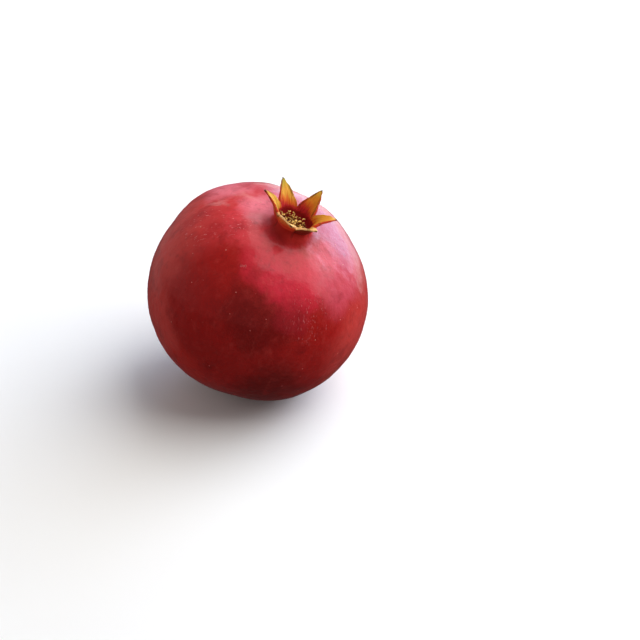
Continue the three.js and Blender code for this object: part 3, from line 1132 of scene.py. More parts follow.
@dataclass(frozen=True)
class RindFinish:
    """Pomegranate rind: a leathery skin with a thin natural wax.

    To the eye it is a deep satin red, uneven in broad soft blushes, with fine streaks that run from the crown
    to the stalk, freckles, and dry marks where twigs rubbed it. Some blushes are painted light: painted shade
    deepens the lower side, and painted sheen and painted reflection lighten the skin beside the crown. Its
    wax gives broad soft lights, and fine pores break them up.
    """

    base: str = "#a8120e"
    # Each blush lies over those before it. Some of them are painted shade and painted sheen, as marked.
    blushes_shade_and_sheen: tuple[Blush, ...] = (
        Blush(100, 95, 60, "#c42a30", 0.8, 15),
        Blush(40, 120, 50, "#c2362c", 0.7, 15),
        Blush(245, 120, 36, "#c8231a", 0.8, 8),
        # These two dark maroon patches are partly the rind's own deeper red and partly painted shade on its
        # lower side.
        Blush(298, 96, 27, "#6c0906", 0.7, 5),
        Blush(279, 55, 27, "#7a0b08", 0.75, 6),
        Blush(168, 46, 44, "#cb3436", 0.9, 10),
        Blush(192, 74, 36, "#cc3a34", 0.85, 4),
        # Painted sheen: a pale pink patch beside the neck, where the wax catches the light.
        Blush(150, 49, 20, "#e2707c", 0.9, 2),
        Blush(202, 21, 19, "#dc3a42", 0.85, 6),
        Blush(262, 26, 19, "#cc2030", 0.85, 6),
        Blush(295, 32, 20, "#d02036", 0.9, 7),
        Blush(346, 36, 26, "#c84452", 0.8, 5),
        Blush(112, 42, 28, "#b01a2c", 0.7, 4),
        # Partly painted reflection: a mauve tint right of the crown, over the rind's own red, where the wax
        # mirrors the bright back.
        Blush(32, 30, 26, "#a82f48", 0.8, 4),
        Blush(346, 21, 12, "#d84858", 0.45, 3),
        # Painted sheen: a pale pink patch beside the crown.
        Blush(160, 18, 18, "#e67480", 0.85, 4),
        Blush(292, 20, 11, "#c01c28", 0.7, 3),
        Blush(352, 82, 36, "#c83a34", 0.9, 3),
        Blush(221, 99, 28, "#d4403a", 0.85, 3),
        Blush(297, 50, 13, "#b01a28", 0.55, 3),
    )
    stalk_russet: Blush = Blush(0, 180, 13, "#8a5c3c", 0.75, 4)
    bleached: Blush = Blush(172, 50, 46, "#f0a09a", 1.0, 12)
    flecked: tuple[Blush, ...] = (
        Blush(310, 50, 19, "#e88f90", 0.5, 4),
        Blush(196, 46, 17, "#e88f90", 0.8, 4),
        Blush(205, 26, 12, "#e88f90", 0.8, 3),
        Blush(70, 80, 30, "#e88f90", 0.6, 5),
    )
    scars: tuple[Blush, ...] = (
        Blush(247.0, 36.6, 1.1, "#8c1c1e", 0.9, 0.2),
        Blush(249.6, 35.8, 1.3, "#8c1c1e", 0.8, 0.3),
    )
    neck: Tone = Tone("#c42c24", 0.3, 0.85, 0.8)
    lobes: LobeTones = LobeTones()
    dark_blotches: Tone = Tone("#7a0c10", 0.52, 0.7, 0.35)
    light_blotches: Tone = Tone("#bc3430", 0.5, 0.3, 0.2)
    streaks: tuple[Tone, ...] = (Tone("#6d0c12", 0.54, 0.8, 0.3), Tone("#d2554c", 0.44, 0.22, 0.2))
    mottles: tuple[Tone, ...] = (Tone("#5c0b0f", 0.55, 0.75, 0.25), Tone("#c4423c", 0.46, 0.25, 0.2))
    bleached_bands: Tone = Tone(bleached.colour, 0.5, 0.72, 0.4)
    red_bands: Tone = Tone("#a3161f", 0.5, 0.34, 0.45)
    fleck_share: float = 0.7
    fleck_threads: Span = (0.58, 0.67)
    fleck_mottles: Span = (0.4, 0.52)
    scar_rim: Tone = Tone("#d8706e", 0.02, 0.25, 0.45)
    scar_pit: Span = (0.35, 0.7)
    scar_grit: Span = (0.35, 0.6)
    # The patterns on the skin.
    cloud_pattern: Pattern = Pattern(18.0, 1.0, 0.58)
    break_pattern: Pattern = Pattern(4.0, 5.0, 0.58)
    blotch_pattern: Pattern = Pattern(9.0, 6.0, 0.58)
    light_blotch_pattern: Pattern = Pattern(5.4, 6.0, 0.58)
    mottle_pattern: Pattern = Pattern(3.4, 8.0, 0.58)
    grit_pattern: Pattern = Pattern(0.9, 3.0, 0.58)
    pebble_pattern: Pattern = Pattern(2.4, 3.0, 0.58)
    pore_pattern: Pattern = Pattern(0.7, 3.0, 0.58)
    # The patterns that are drawn out from the crown to the stalk, as broad as they are round the girth.
    streak_pattern: Pattern = Pattern(2.5, 5.0, 0.62)
    band_pattern: Pattern = Pattern(10.0, 8.0, 0.62)
    fleck_pattern: Pattern = Pattern(5 / 7, 3.0, 0.6)
    streak_millimetre: float = 1 / Rind.streak_width
    fleck_stretch: float = 0.5
    # How far the clouds and the breaks carry a blush's edge.
    cloud_stray: float = 0.24
    break_stray: float = 0.14
    pebble_height: float = 0.15
    pore_height: float = 0.05
    pebble_span: Span = (0.3, 0.7)
    roughness: Span = (0.34, 0.44)
    dry_roughness: float = 0.65
    wax: float = 0.28
    wax_fade: Span = (0.7, 0.0)
    gloss: float = 0.22
    dry_gloss: float = 0.1

    def build(self) -> bpy.types.Material:
        """Builds the rind's material, for the fruit's body, neck, lobes and cup.

        Returns:
            The material.
        """
        paint = Painter("pomegranate_rind", self.base)
        kept = {
            name: paint.node("ShaderNodeAttribute", attribute_name=name).outputs["Fac"]
            for name in KEPT_NUMBERS
        }
        place = paint.node("ShaderNodeTexCoord").outputs["Object"]
        way = paint.node("ShaderNodeAttribute", attribute_name="direction").outputs["Vector"]
        self.paint_blushes_shade_and_sheen(paint, place, way)
        self.paint_marks(paint, place, way)
        paint.cover(self.neck, kept["tube"])
        self.paint_lobes(paint, kept)
        return self.surface(paint, kept, place)

    def nearness(self, paint: Painter, blush: Blush, way: NodeInput) -> Fade:
        """Works out how far a blush covers what is under it.

        Args:
            paint: the material's painter.
            blush: the patch.
            way: directions from the fruit's middle.

        Returns:
            The blush's mask.
        """
        near = paint.node("ShaderNodeVectorMath", {0: way, 1: blush.middle()}, operation="DOT_PRODUCT")
        edge, core = math.cos(math.radians(blush.reach)), math.cos(math.radians(blush.core))
        return Fade(near.outputs["Value"], edge, core, blush.share)

    def paint_blushes_shade_and_sheen(self, paint: Painter, place: NodeInput, way: NodeInput) -> None:
        """Lays the broad blushes over the base, with wandering edges, and blotches over them. Some blushes
        are painted shade, painted sheen and painted reflection.

        Args:
            paint: the material's painter.
            place: Object coordinates.
            way: directions from the fruit's middle.
        """
        for pattern, much in ((self.cloud_pattern, self.cloud_stray), (self.break_pattern, self.break_stray)):
            cloud = paint.node("ShaderNodeTexNoise", pattern.on(place)).outputs["Color"]
            centred = {0: cloud, 1: (NOISE_MIDDLE,) * 3}
            stray = paint.node("ShaderNodeVectorMath", centred, operation="SUBTRACT")
            carried = {0: stray, 1: (much,) * 3, 2: way}
            way = paint.node("ShaderNodeVectorMath", carried, operation="MULTIPLY_ADD")
        strayed = paint.node("ShaderNodeVectorMath", {0: way}, operation="NORMALIZE")
        for blush in (*self.blushes_shade_and_sheen, self.stalk_russet):
            paint.cover(Tone(blush.colour), self.nearness(paint, blush, strayed))
        # Blotches follow no direction.
        for pattern, tone in (
            (self.blotch_pattern, self.dark_blotches),
            (self.light_blotch_pattern, self.light_blotches),
        ):
            paint.cover(tone, paint.node("ShaderNodeTexNoise", pattern.on(place)))

    def paint_marks(self, paint: Painter, place: NodeInput, way: NodeInput) -> None:
        """Lays streaks, mottles, bleached bands, flecks and two small scars over the blushes.

        Args:
            paint: the material's painter.
            place: Object coordinates.
            way: directions from the fruit's middle.
        """
        line = paint.node("ShaderNodeAttribute", attribute_name="streak_place").outputs["Vector"]
        streak = paint.node("ShaderNodeTexNoise", self.streak_pattern.on(line, self.streak_millimetre))
        mottle = paint.node("ShaderNodeTexNoise", self.mottle_pattern.on(place))
        for pattern, tones in ((streak, self.streaks), (mottle, self.mottles)):
            for tone in tones:
                paint.cover(tone, pattern)
        # Dry bands where the sun bleached the skin, and red between them.
        band = paint.node("ShaderNodeTexNoise", self.band_pattern.on(line, self.streak_millimetre))
        sunny = paint.mask(self.nearness(paint, self.bleached, way))
        for tone in (self.bleached_bands, self.red_bands):
            paint.cover(tone, band, sunny)
        # Short pale flecks, where twigs and wind scratched it.
        short = {0: line, 1: (1, 1, self.fleck_stretch)}
        drawn_out = paint.node("ShaderNodeVectorMath", short, operation="MULTIPLY")
        thread = paint.node("ShaderNodeTexNoise", self.fleck_pattern.on(drawn_out, self.streak_millimetre))
        fleck = paint.mask(Fade(thread, *self.fleck_threads), Fade(mottle, *self.fleck_mottles))
        for patch in self.flecked:
            scratched = paint.mask(fleck, self.nearness(paint, patch, way))
            paint.cover(Tone(patch.colour, share=self.fleck_share), scratched)
        # Two small scars side by side, each a dark pit inside a pale, uneven rim.
        grit = paint.node("ShaderNodeTexNoise", self.grit_pattern.on(place))
        uneven = paint.mask(Fade(grit, *self.scar_grit))
        for scar in self.scars:
            ring = paint.mask(self.nearness(paint, scar, way), uneven)
            paint.cover(self.scar_rim, ring)
            paint.cover(Tone(scar.colour, *self.scar_pit), ring)

    def paint_lobes(self, paint: Painter, kept: Mapping[str, NodeInput]) -> None:
        """Lays the lobes' colours over the neck's: red and orange outside, and amber to olive inside.

        Args:
            paint: the material's painter.
            kept: the numbers that the mesh keeps, by name.
        """
        tones = self.lobes
        zone, inward, margin = kept["lobe_zone"], kept["inner_face"], kept["margin"]
        tint = paint.node("ShaderNodeAttribute", attribute_name="lobe_tint").outputs["Vector"]
        tint = paint.node("ShaderNodeSeparateXYZ", {0: tint})
        olive, blush, amber = (tint.outputs[axis] for axis in "XYZ")
        grain = paint.node("ShaderNodeAttribute", attribute_name="lobe_grain").outputs["Vector"]
        fibre = paint.node("ShaderNodeTexNoise", tones.fibre_pattern.on(grain, 1.0))
        stray = paint.node("ShaderNodeMath", {0: fibre, 1: -NOISE_MIDDLE}, operation="ADD")
        strayed = {0: stray, 1: tones.fibre_stray, 2: kept["along_lobe"]}
        along = paint.node("ShaderNodeMath", strayed, operation="MULTIPLY_ADD")
        outside = Fade(inward, *tones.outer_face)
        outer = paint.mask(outside, zone)
        inner = paint.mask(Fade(inward, *tones.inner_face), zone)
        # Outside: a warm red up the wall, then orange and a dim brown. Painted shade darkens the backs of
        # some lobes and the wall below them.
        paint.cover(tones.outer_root, kept["wall_rise"])
        for tone in tones.outer:
            paint.cover(tone, along, outer)
        paint.cover(tones.painted_back_shade, kept["wall_rise"], outside, kept["painted_back_shade"])
        # Inside: yellow, with an orange middle, olive at the tip and red at the root.
        paint.cover(tones.inner, inner)
        paint.cover(tones.orange, along, inner, amber)
        for tone in tones.greens:
            paint.cover(tone, along, inner, olive)
        side = {0: kept["across_lobe"], 1: tones.root_lean, 2: tones.root_length}
        red_root = paint.node("ShaderNodeMath", side, operation="MULTIPLY_ADD")
        red_root = paint.node("ShaderNodeMath", {0: blush, 1: red_root}, operation="MULTIPLY")
        red_root = paint.node("ShaderNodeMath", {0: red_root, 1: along}, operation="SUBTRACT")
        for tone in tones.red_roots:
            paint.cover(tone, red_root, inner)
        paint.cover(tones.fibres, fibre, zone)
        # The margins: pale where they are worn, dark elsewhere, frayed by the fibres, and dry at the tips.
        worn = paint.mask(margin, kept["pale_margin"], Fade(inward, *tones.worn_face))
        paint.cover(tones.pale_edge, worn)
        paint.cover(tones.dark_edge, margin, Fade(kept["pale_margin"], *tones.unworn))
        paint.cover(tones.frayed_edge, paint.mask(margin, Fade(fibre, *tones.frayed)))
        paint.cover(tones.dry_tip, kept["along_lobe"], zone)
        # Below each notch, painted shade darkens the fold that runs down the wall.
        across = paint.node("ShaderNodeMath", {0: kept["across_lobe"]}, operation="ABSOLUTE")
        wall = Fade(kept["tube"], *tones.crease_wall)
        paint.cover(tones.crease_shade, across, Fade(inward, *tones.crease_face), wall)
        # The lobes' roots inside the cup are crimson, and painted shade darkens the cup's deep red down to
        # its floor.
        paint.cover(tones.inside_root, kept["along_lobe"], Fade(inward, *tones.cup_face))
        for tone in tones.cup:
            paint.cover(tone, kept["cup_depth"])

    def surface(self, paint: Painter, kept: Mapping[str, NodeInput], place: NodeInput) -> bpy.types.Material:
        """Adds the pores, the fine pebbling and the wax.

        Args:
            paint: the material's painter.
            kept: the numbers that the mesh keeps, by name.
            place: Object coordinates.

        Returns:
            The finished material.
        """
        pebble = paint.node("ShaderNodeTexNoise", self.pebble_pattern.on(place))
        pore = paint.node("ShaderNodeTexNoise", self.pore_pattern.on(place))
        span = (pebble, *self.pebble_span, *self.roughness)
        rough = paint.node("ShaderNodeMapRange", dict(enumerate(span)))
        drying = {0: kept["tube"], 1: rough, 2: self.dry_roughness}
        dry = paint.node("ShaderNodeMix", drying, data_type="FLOAT")
        # The wax thins out on the neck, and the dried lobes have none.
        wax = paint.mask(Fade(kept["tube"], *self.wax_fade, self.wax))
        sheen = paint.node("ShaderNodeMapRange", {0: kept["tube"], 3: self.gloss, 4: self.dry_gloss})
        return paint.finish(
            {"Roughness": dry, "Coat Weight": wax, "Specular IOR Level": sheen},
            [(pebble, self.pebble_height), (pore, self.pore_height)],
            Coat_Weight=self.wax,
            Coat_Roughness=0.14,
            Coat_IOR=1.4,
            Specular_IOR_Level=self.gloss,
            IOR=1.45,
        )


# ---- What the crown's cup holds, and the stalk ----


@dataclass
class Stamens:
    """The tuft of dried stamens in the crown's cup: thin bent filaments with curled anthers (mm)."""

    pose: Pose
    count: int = 96
    seed: int = 11
    root_radii: Span = (3.6, 6.9)
    root_heights: Span = (0.1, 3.5)
    root_crowding: float = 0.55
    tip_radii: Span = (0.4, 5.9)
    tip_heights: Span = (4.9, 5.6)
    tip_crowding: float = 0.5
    swept_towards: float = 230.0
    swept: float = 0.8
    swept_up: float = 0.12
    stray: float = 0.8
    elbow_share: float = 0.75
    elbow_sink: float = 1.2
    filament_thickness: float = 0.27
    filament_taper: Span = (1.25, 0.7)
    filament_steps: int = 10
    filament_sides: int = 5
    waviness: float = 1.7
    wave_size: float = 1.7
    curl_radius: float = 0.5
    curl: float = 150.0
    anther_thickness: float = 0.54
    anther_taper: float = 0.35
    anther_sizes: Span = (0.45, 1.2)
    anther_steps: int = 8
    anther_sides: int = 6

    def build(self) -> bpy.types.Object:
        """Grows the tuft with geometry nodes, in the crown's own axes, and moves it into the cup.

        Returns:
            The tuft as one plain mesh.
        """
        values = {
            "Stamens": self.count,
            "Seed": self.seed,
            "Filament Radius": self.filament_thickness / 2 * MM,
            "Anther Radius": self.anther_thickness / 2 * MM,
            "Curl Radius": self.curl_radius * MM,
            "Waviness": self.waviness * MM,
        }
        tree = geometry_tree("stamen tuft", values)
        given = add_node(tree, "NodeGroupInput").outputs
        points = self.laid_out(tree, given)
        joined = add_node(tree, "GeometryNodeJoinGeometry", {0: self.filaments(tree, given, points)})
        tree.links.new(first_output(self.anthers(tree, given, points)), joined.inputs[0])
        end_tree(tree, joined, DriedFlowerFinish("dried_stamen_filaments").build())
        tuft = as_object(bpy.data.meshes.new("stamen_tuft"))
        run_geometry_nodes(tuft, tree, values)
        tuft.data.transform(self.pose.crown_frame())
        return tuft

    def laid_out(self, tree: bpy.types.NodeTree, given: Any) -> bpy.types.Node:
        """Makes one point for each stamen, which keeps where its root, elbow and tip are, and its tone.

        Args:
            tree: the tuft's tree.
            given: the outputs that hold the tree's inputs.

        Returns:
            The node that gives the points.
        """
        number = add_node(tree, "GeometryNodeInputIndex")
        share = add_node(tree, "ShaderNodeMath", {0: number, 1: given["Stamens"]}, operation="DIVIDE")
        golden = math.pi * (3 - math.sqrt(5))
        turn = add_node(tree, "ShaderNodeMath", {0: number, 1: golden}, operation="MULTIPLY")
        around = [add_node(tree, "ShaderNodeMath", {0: turn}, operation=way) for way in ("COSINE", "SINE")]
        ends = []
        for radii, heights, crowding in (
            (self.root_radii, self.root_heights, self.root_crowding),
            (self.tip_radii, self.tip_heights, self.tip_crowding),
        ):
            crowded = add_node(tree, "ShaderNodeMath", {0: share, 1: crowding}, operation="POWER")
            radius, height = (
                add_node(tree, "ShaderNodeMapRange", {0: mix, 1: 0.0, 2: 1.0, 3: low * MM, 4: high * MM})
                for mix, (low, high) in ((crowded, radii), (share, heights))
            )
            x, y = (add_node(tree, "ShaderNodeMath", {0: a, 1: radius}, operation="MULTIPLY") for a in around)
            ends.append(add_node(tree, "ShaderNodeCombineXYZ", {0: x, 1: y, 2: height}))
        root, tip = ends
        # The whole tuft is swept to one side of the cup, and stands higher there.
        lean = tuple(direction_from(self.swept_towards, 0.0))
        raised = add_node(tree, "ShaderNodeVectorMath", {0: tip, 1: lean}, operation="DOT_PRODUCT")
        rise = {0: raised.outputs["Value"], 1: self.swept_up}
        lift = add_node(tree, "ShaderNodeMath", rise, operation="MULTIPLY")
        lift = add_node(tree, "ShaderNodeCombineXYZ", {2: lift})
        side = tuple(part * self.swept * MM for part in lean)
        reach = (self.stray * MM,) * 3
        stray_range = {"Min": tuple(-r for r in reach), "Max": reach, "Seed": given["Seed"]}
        stray = add_node(tree, "FunctionNodeRandomValue", stray_range, data_type="FLOAT_VECTOR")
        for moved in (side, lift, stray):
            tip = add_node(tree, "ShaderNodeVectorMath", {0: tip, 1: moved}, operation="ADD")
        elbow = add_node(tree, "ShaderNodeMix", {0: self.elbow_share, 1: root, 2: tip}, data_type="VECTOR")
        sunk = {0: elbow, 1: (0, 0, -self.elbow_sink * MM)}
        elbow = add_node(tree, "ShaderNodeVectorMath", sunk, operation="ADD")
        tone = add_node(tree, "FunctionNodeRandomValue", {"Seed": given["Seed"]}, data_type="FLOAT")
        points = add_node(tree, "GeometryNodePoints", {"Count": given["Stamens"]})
        for name, value, kind in (
            ("root", root, "FLOAT_VECTOR"),
            ("elbow", elbow, "FLOAT_VECTOR"),
            ("tip", tip, "FLOAT_VECTOR"),
            ("tone", tone, "FLOAT"),
        ):
            kept = {"Geometry": points, "Name": name, "Value": value}
            points = add_node(tree, "GeometryNodeStoreNamedAttribute", kept, data_type=kind)
        return points

    def filaments(self, tree: bpy.types.NodeTree, given: Any, points: bpy.types.Node) -> bpy.types.Node:
        """Bends a tube from each root past its elbow to its tip.

        Args:
            tree: the tuft's tree.
            given: the outputs that hold the tree's inputs.
            points: the stamens' points.

        Returns:
            The node that gives the filaments.
        """
        root, elbow, tip = (
            add_node(tree, "GeometryNodeInputNamedAttribute", {"Name": name}, data_type="FLOAT_VECTOR")
            for name in ("root", "elbow", "tip")
        )
        line = add_node(tree, "GeometryNodeCurvePrimitiveLine")
        line = add_node(tree, "GeometryNodeResampleCurve", {"Curve": line, "Count": self.filament_steps})
        copies = add_node(tree, "GeometryNodeInstanceOnPoints", {"Points": points, "Instance": line})
        lines = add_node(tree, "GeometryNodeRealizeInstances", {0: copies})
        along = add_node(tree, "GeometryNodeSplineParameter").outputs["Factor"]
        low = add_node(tree, "ShaderNodeMix", {0: along, 1: root, 2: elbow}, data_type="VECTOR")
        high = add_node(tree, "ShaderNodeMix", {0: along, 1: elbow, 2: tip}, data_type="VECTOR")
        bent = add_node(tree, "ShaderNodeMix", {0: along, 1: low, 2: high}, data_type="VECTOR")
        # The filaments waver, most in their middle, where along times the rest is a quarter.
        waves = {"Vector": bent, "Scale": 1 / (self.wave_size * MM)}
        wave = add_node(tree, "ShaderNodeTexNoise", waves).outputs["Color"]
        wave = add_node(tree, "ShaderNodeVectorMath", {0: wave, 1: (NOISE_MIDDLE,) * 3}, operation="SUBTRACT")
        rest = add_node(tree, "ShaderNodeMath", {0: 1.0, 1: along}, operation="SUBTRACT")
        much: Any = along
        for factor in (rest, 4.0, given["Waviness"]):
            much = add_node(tree, "ShaderNodeMath", {0: much, 1: factor}, operation="MULTIPLY")
        wave = add_node(tree, "ShaderNodeVectorMath", {0: wave, "Scale": much}, operation="SCALE")
        bent = add_node(tree, "ShaderNodeVectorMath", {0: bent, 1: wave}, operation="ADD")
        curves = add_node(tree, "GeometryNodeSetPosition", {"Geometry": lines, "Position": bent})
        thick, thin = self.filament_taper
        taper = add_node(tree, "ShaderNodeMapRange", {0: along, 3: thick, 4: thin})
        ring = {"Resolution": self.filament_sides, "Radius": given["Filament Radius"]}
        ring_node = add_node(tree, "GeometryNodeCurvePrimitiveCircle", ring)
        tube = {"Curve": curves, "Profile Curve": ring_node, "Scale": taper, "Fill Caps": True}
        return add_node(tree, "GeometryNodeCurveToMesh", tube)

    def anthers(self, tree: bpy.types.NodeTree, given: Any, points: bpy.types.Node) -> bpy.types.Node:
        """Sets a curled, tapered anther on each tip.

        Args:
            tree: the tuft's tree.
            given: the outputs that hold the tree's inputs.
            points: the stamens' points.

        Returns:
            The node that gives the anthers.
        """
        bend = {
            "Resolution": self.anther_steps,
            "Radius": given["Curl Radius"],
            "Start Angle": math.radians(-self.curl / 2),
            "Sweep Angle": math.radians(self.curl),
        }
        arc = add_node(tree, "GeometryNodeCurveArc", bend)
        along = add_node(tree, "GeometryNodeSplineParameter").outputs["Factor"]
        swing = add_node(tree, "ShaderNodeMath", {0: along, 1: math.pi}, operation="MULTIPLY")
        swell = add_node(tree, "ShaderNodeMath", {0: swing}, operation="SINE")
        swell = add_node(tree, "ShaderNodeMapRange", {0: swell, 3: self.anther_taper, 4: 1.0})
        ring = {"Resolution": self.anther_sides, "Radius": given["Anther Radius"]}
        ring_node = add_node(tree, "GeometryNodeCurvePrimitiveCircle", ring)
        bean = {"Curve": arc, "Profile Curve": ring_node, "Scale": swell, "Fill Caps": True}
        bean_node = add_node(tree, "GeometryNodeCurveToMesh", bean)
        tip = add_node(tree, "GeometryNodeInputNamedAttribute", {"Name": "tip"}, data_type="FLOAT_VECTOR")
        tips = add_node(tree, "GeometryNodeSetPosition", {"Geometry": points, "Position": tip})
        # The anthers turn and grow by the next two seeds after the stamens' own.
        turn_seed, size_seed = (
            add_node(tree, "ShaderNodeMath", {0: given["Seed"], 1: float(n)}, operation="ADD") for n in (1, 2)
        )
        turned = {"Min": (0.0, 0.0, 0.0), "Max": (2 * math.pi,) * 3, "Seed": turn_seed}
        smallest, largest = self.anther_sizes
        grown = {"Min": smallest, "Max": largest, "Seed": size_seed}
        beans = {
            "Points": tips,
            "Instance": bean_node,
            "Rotation": add_node(tree, "FunctionNodeRandomValue", turned, data_type="FLOAT_VECTOR"),
            "Scale": add_node(tree, "FunctionNodeRandomValue", grown, data_type="FLOAT"),
        }
        copies = add_node(tree, "GeometryNodeInstanceOnPoints", beans)
        marked = {"Geometry": copies, "Name": "anther", "Value": 1.0}
        kind = "GeometryNodeStoreNamedAttribute"
        return add_node(tree, kind, marked, data_type="FLOAT", domain="INSTANCE")


@dataclass(frozen=True)
class DriedFlowerFinish:
    """Dried flower parts: papery, matt threads and anthers, some golden with old pollen and some brown."""

    name: str
    thread: str = "#7a3f1c"
    old_thread: str = "#b9873a"
    ageing: Span = (0.35, 0.9)
    pollen: str = "#f2c66c"
    husk: Tone = Tone("#94622a", 0.45, 0.05, 0.8)
    stain: Tone = Tone("#5a3414", 0.52, 0.75, 0.55)
    fibre_pattern: Pattern = Pattern(0.35, 3.0)
    fibre_height: float = 0.04
    roughness: Span = (0.7, 0.95)

    def build(self) -> bpy.types.Material:
        """Builds the material.

        Returns:
            The material.
        """
        paint = Painter(self.name, self.thread)
        tone, anther = (
            paint.node("ShaderNodeAttribute", attribute_name=name).outputs["Fac"]
            for name in ("tone", "anther")
        )
        place = paint.node("ShaderNodeTexCoord").outputs["Object"]
        grain = paint.node("ShaderNodeTexNoise", self.fibre_pattern.on(place))
        paint.cover(Tone(self.old_thread, *self.ageing), tone)
        paint.cover(Tone(self.pollen), anther)
        paint.cover(self.husk, tone, anther)
        paint.cover(self.stain, grain)
        rough = paint.node("ShaderNodeMapRange", {0: grain, 3: self.roughness[0], 4: self.roughness[1]})
        return paint.finish({"Roughness": rough}, [(grain, self.fibre_height)], Specular_IOR_Level=0.25)


@dataclass
class Style:
    """The dried style in the middle of the cup: a ridged column with a lobed stigma on top (mm).

    Its stretches start and end at shares of its height.
    """

    pose: Pose
    foot: float = -0.2
    height: float = 3.6
    radius: float = 0.5
    knob_radius: float = 0.85
    knob_rise: float = 0.6
    foot_swelling: float = 0.6
    foot_top: float = 0.2
    neck: Span = (0.62, 0.8)
    dome_start: float = 0.86
    ridges: int = 5
    ridge_share: float = 0.07
    ridges_fade: Span = (0.6, 0.75)
    stigma_lobes: int = 4
    stigma_share: float = 0.12
    stigma_start: Span = (0.65, 0.85)
    ridge_twist: float = 1.5
    twist: float = 0.5
    columns: int = 32
    rows: int = 40

    def build(self) -> bpy.types.Object:
        """Turns the style's outline about the crown's axis, with its ridges.

        Returns:
            The style, in place.
        """
        share = shares(self.rows)[:-1]
        angle = round_angles(self.columns)
        neck = smooth(share, *self.neck) * (self.knob_radius - self.radius)
        foot = (1 - smooth(share, 0.0, self.foot_top)) * self.radius * self.foot_swelling
        dome_share = np.clip((share - self.dome_start) / (1 - self.dome_start), 0, 1)
        dome = np.sqrt(np.clip(1 - dome_share**2, 0, 1))
        ridges = self.ridge_share * np.sin(self.ridges * angle + self.ridge_twist * share)
        ridges = 1 + ridges * (1 - smooth(share, *self.ridges_fade))
        lobes = 1 + self.stigma_share * np.cos(self.stigma_lobes * angle) * smooth(share, *self.stigma_start)
        radius = (self.radius + neck + foot) * dome * ridges * lobes
        top = self.height + self.knob_radius * self.knob_rise
        height = self.foot + (top - self.foot) * share
        grid = meridian(angle + self.twist * share, radius, height) * MM
        poles = np.array([[0, 0, self.foot], [0, 0, top]]) * MM
        mesh = closed_mesh("dried_style", grid, poles[0], poles[1])
        mesh.transform(self.pose.crown_frame())
        brown = "#7d4a20"
        mesh.materials.append(DriedFlowerFinish("dried_style", brown, brown).build())
        return as_object(mesh)


@dataclass
class Stalk:
    """The cut stub of the stalk, out of the dimple at the fruit's other end (mm)."""

    pose: Pose
    start: float
    base_radius: float = 2.9
    length: float = 2.2
    gap: float = 0.3
    ridge: float = 0.12
    broad_ridges: int = 9
    broad_share: float = 0.5
    unevenness: float = 3.0
    narrow_ridges: int = 23
    narrow_share: float = 0.35
    winding: float = 4.0
    # The bark's outline: at shares of its length, its radius as a share of the widest.
    outline: tuple[Span, ...] = (
        (0.0, 0.55),
        (0.05, 0.62),
        (0.42, 1.0),
        (0.75, 0.86),
        (0.92, 0.83),
        (1.0, 0.78),
    )
    bark_start: Span = (0.1, 0.4)
    bark_end: Span = (0.9, 1.0)
    ring_relief: float = 0.04
    cut_hollow: float = 0.12
    columns: int = 72
    side_rows: int = 24
    face_rows: int = 12

    def build(self) -> bpy.types.Object:
        """Builds the stub from its root, down its ridged bark and over its bevelled cut face.

        Returns:
            The stub, in place.
        """
        side = shares(self.side_rows)
        angle = round_angles(self.columns)
        swell = np.interp(side, *zip(*self.outline))
        # Broad ridges of uneven spacing, and narrow ones that wind a little.
        broad = np.sin(self.broad_ridges * angle + self.unevenness * np.sin(2 * angle))
        narrow = np.sin(self.narrow_ridges * angle + self.winding * side)
        ridges = self.broad_share * broad + self.narrow_share * narrow
        bark = self.ridge * ridges * smooth(side, *self.bark_start) * (1 - smooth(side, *self.bark_end))
        radius = self.base_radius * swell + bark
        root = -(self.start + self.gap)
        cut = root - self.length
        inward = 1 - shares(self.face_rows)[:-1]
        # The growth rings stand out a little on the cut, and the wood shrank in its middle.
        rings = self.ring_relief * np.sin(40 * inward + np.sin(3 * angle))
        face_height = cut + rings + self.cut_hollow * (1 - inward)
        bark_points = meridian(angle, radius, root - self.length * side)
        grid = np.concatenate([bark_points, meridian(angle, inward * radius[-1:], face_height)])
        poles = np.array([[0, 0, root], [0, 0, cut + self.cut_hollow]])
        mesh = closed_mesh("stalk_end", grid * MM, poles[0] * MM, poles[1] * MM)
        mesh.transform(self.pose.axis_frame())
        counts = (1, self.side_rows * self.columns, (self.face_rows - 1) * self.columns + 1)
        store(mesh, "cut", np.repeat([0.0, 0.0, 1.0], counts))
        off_axis = np.concatenate([[0.0], np.hypot(grid[..., 0], grid[..., 1]).ravel(), [0.0]])
        store(mesh, "ring", off_axis)
        mesh.materials.append(StalkFinish().build())
        return as_object(mesh)


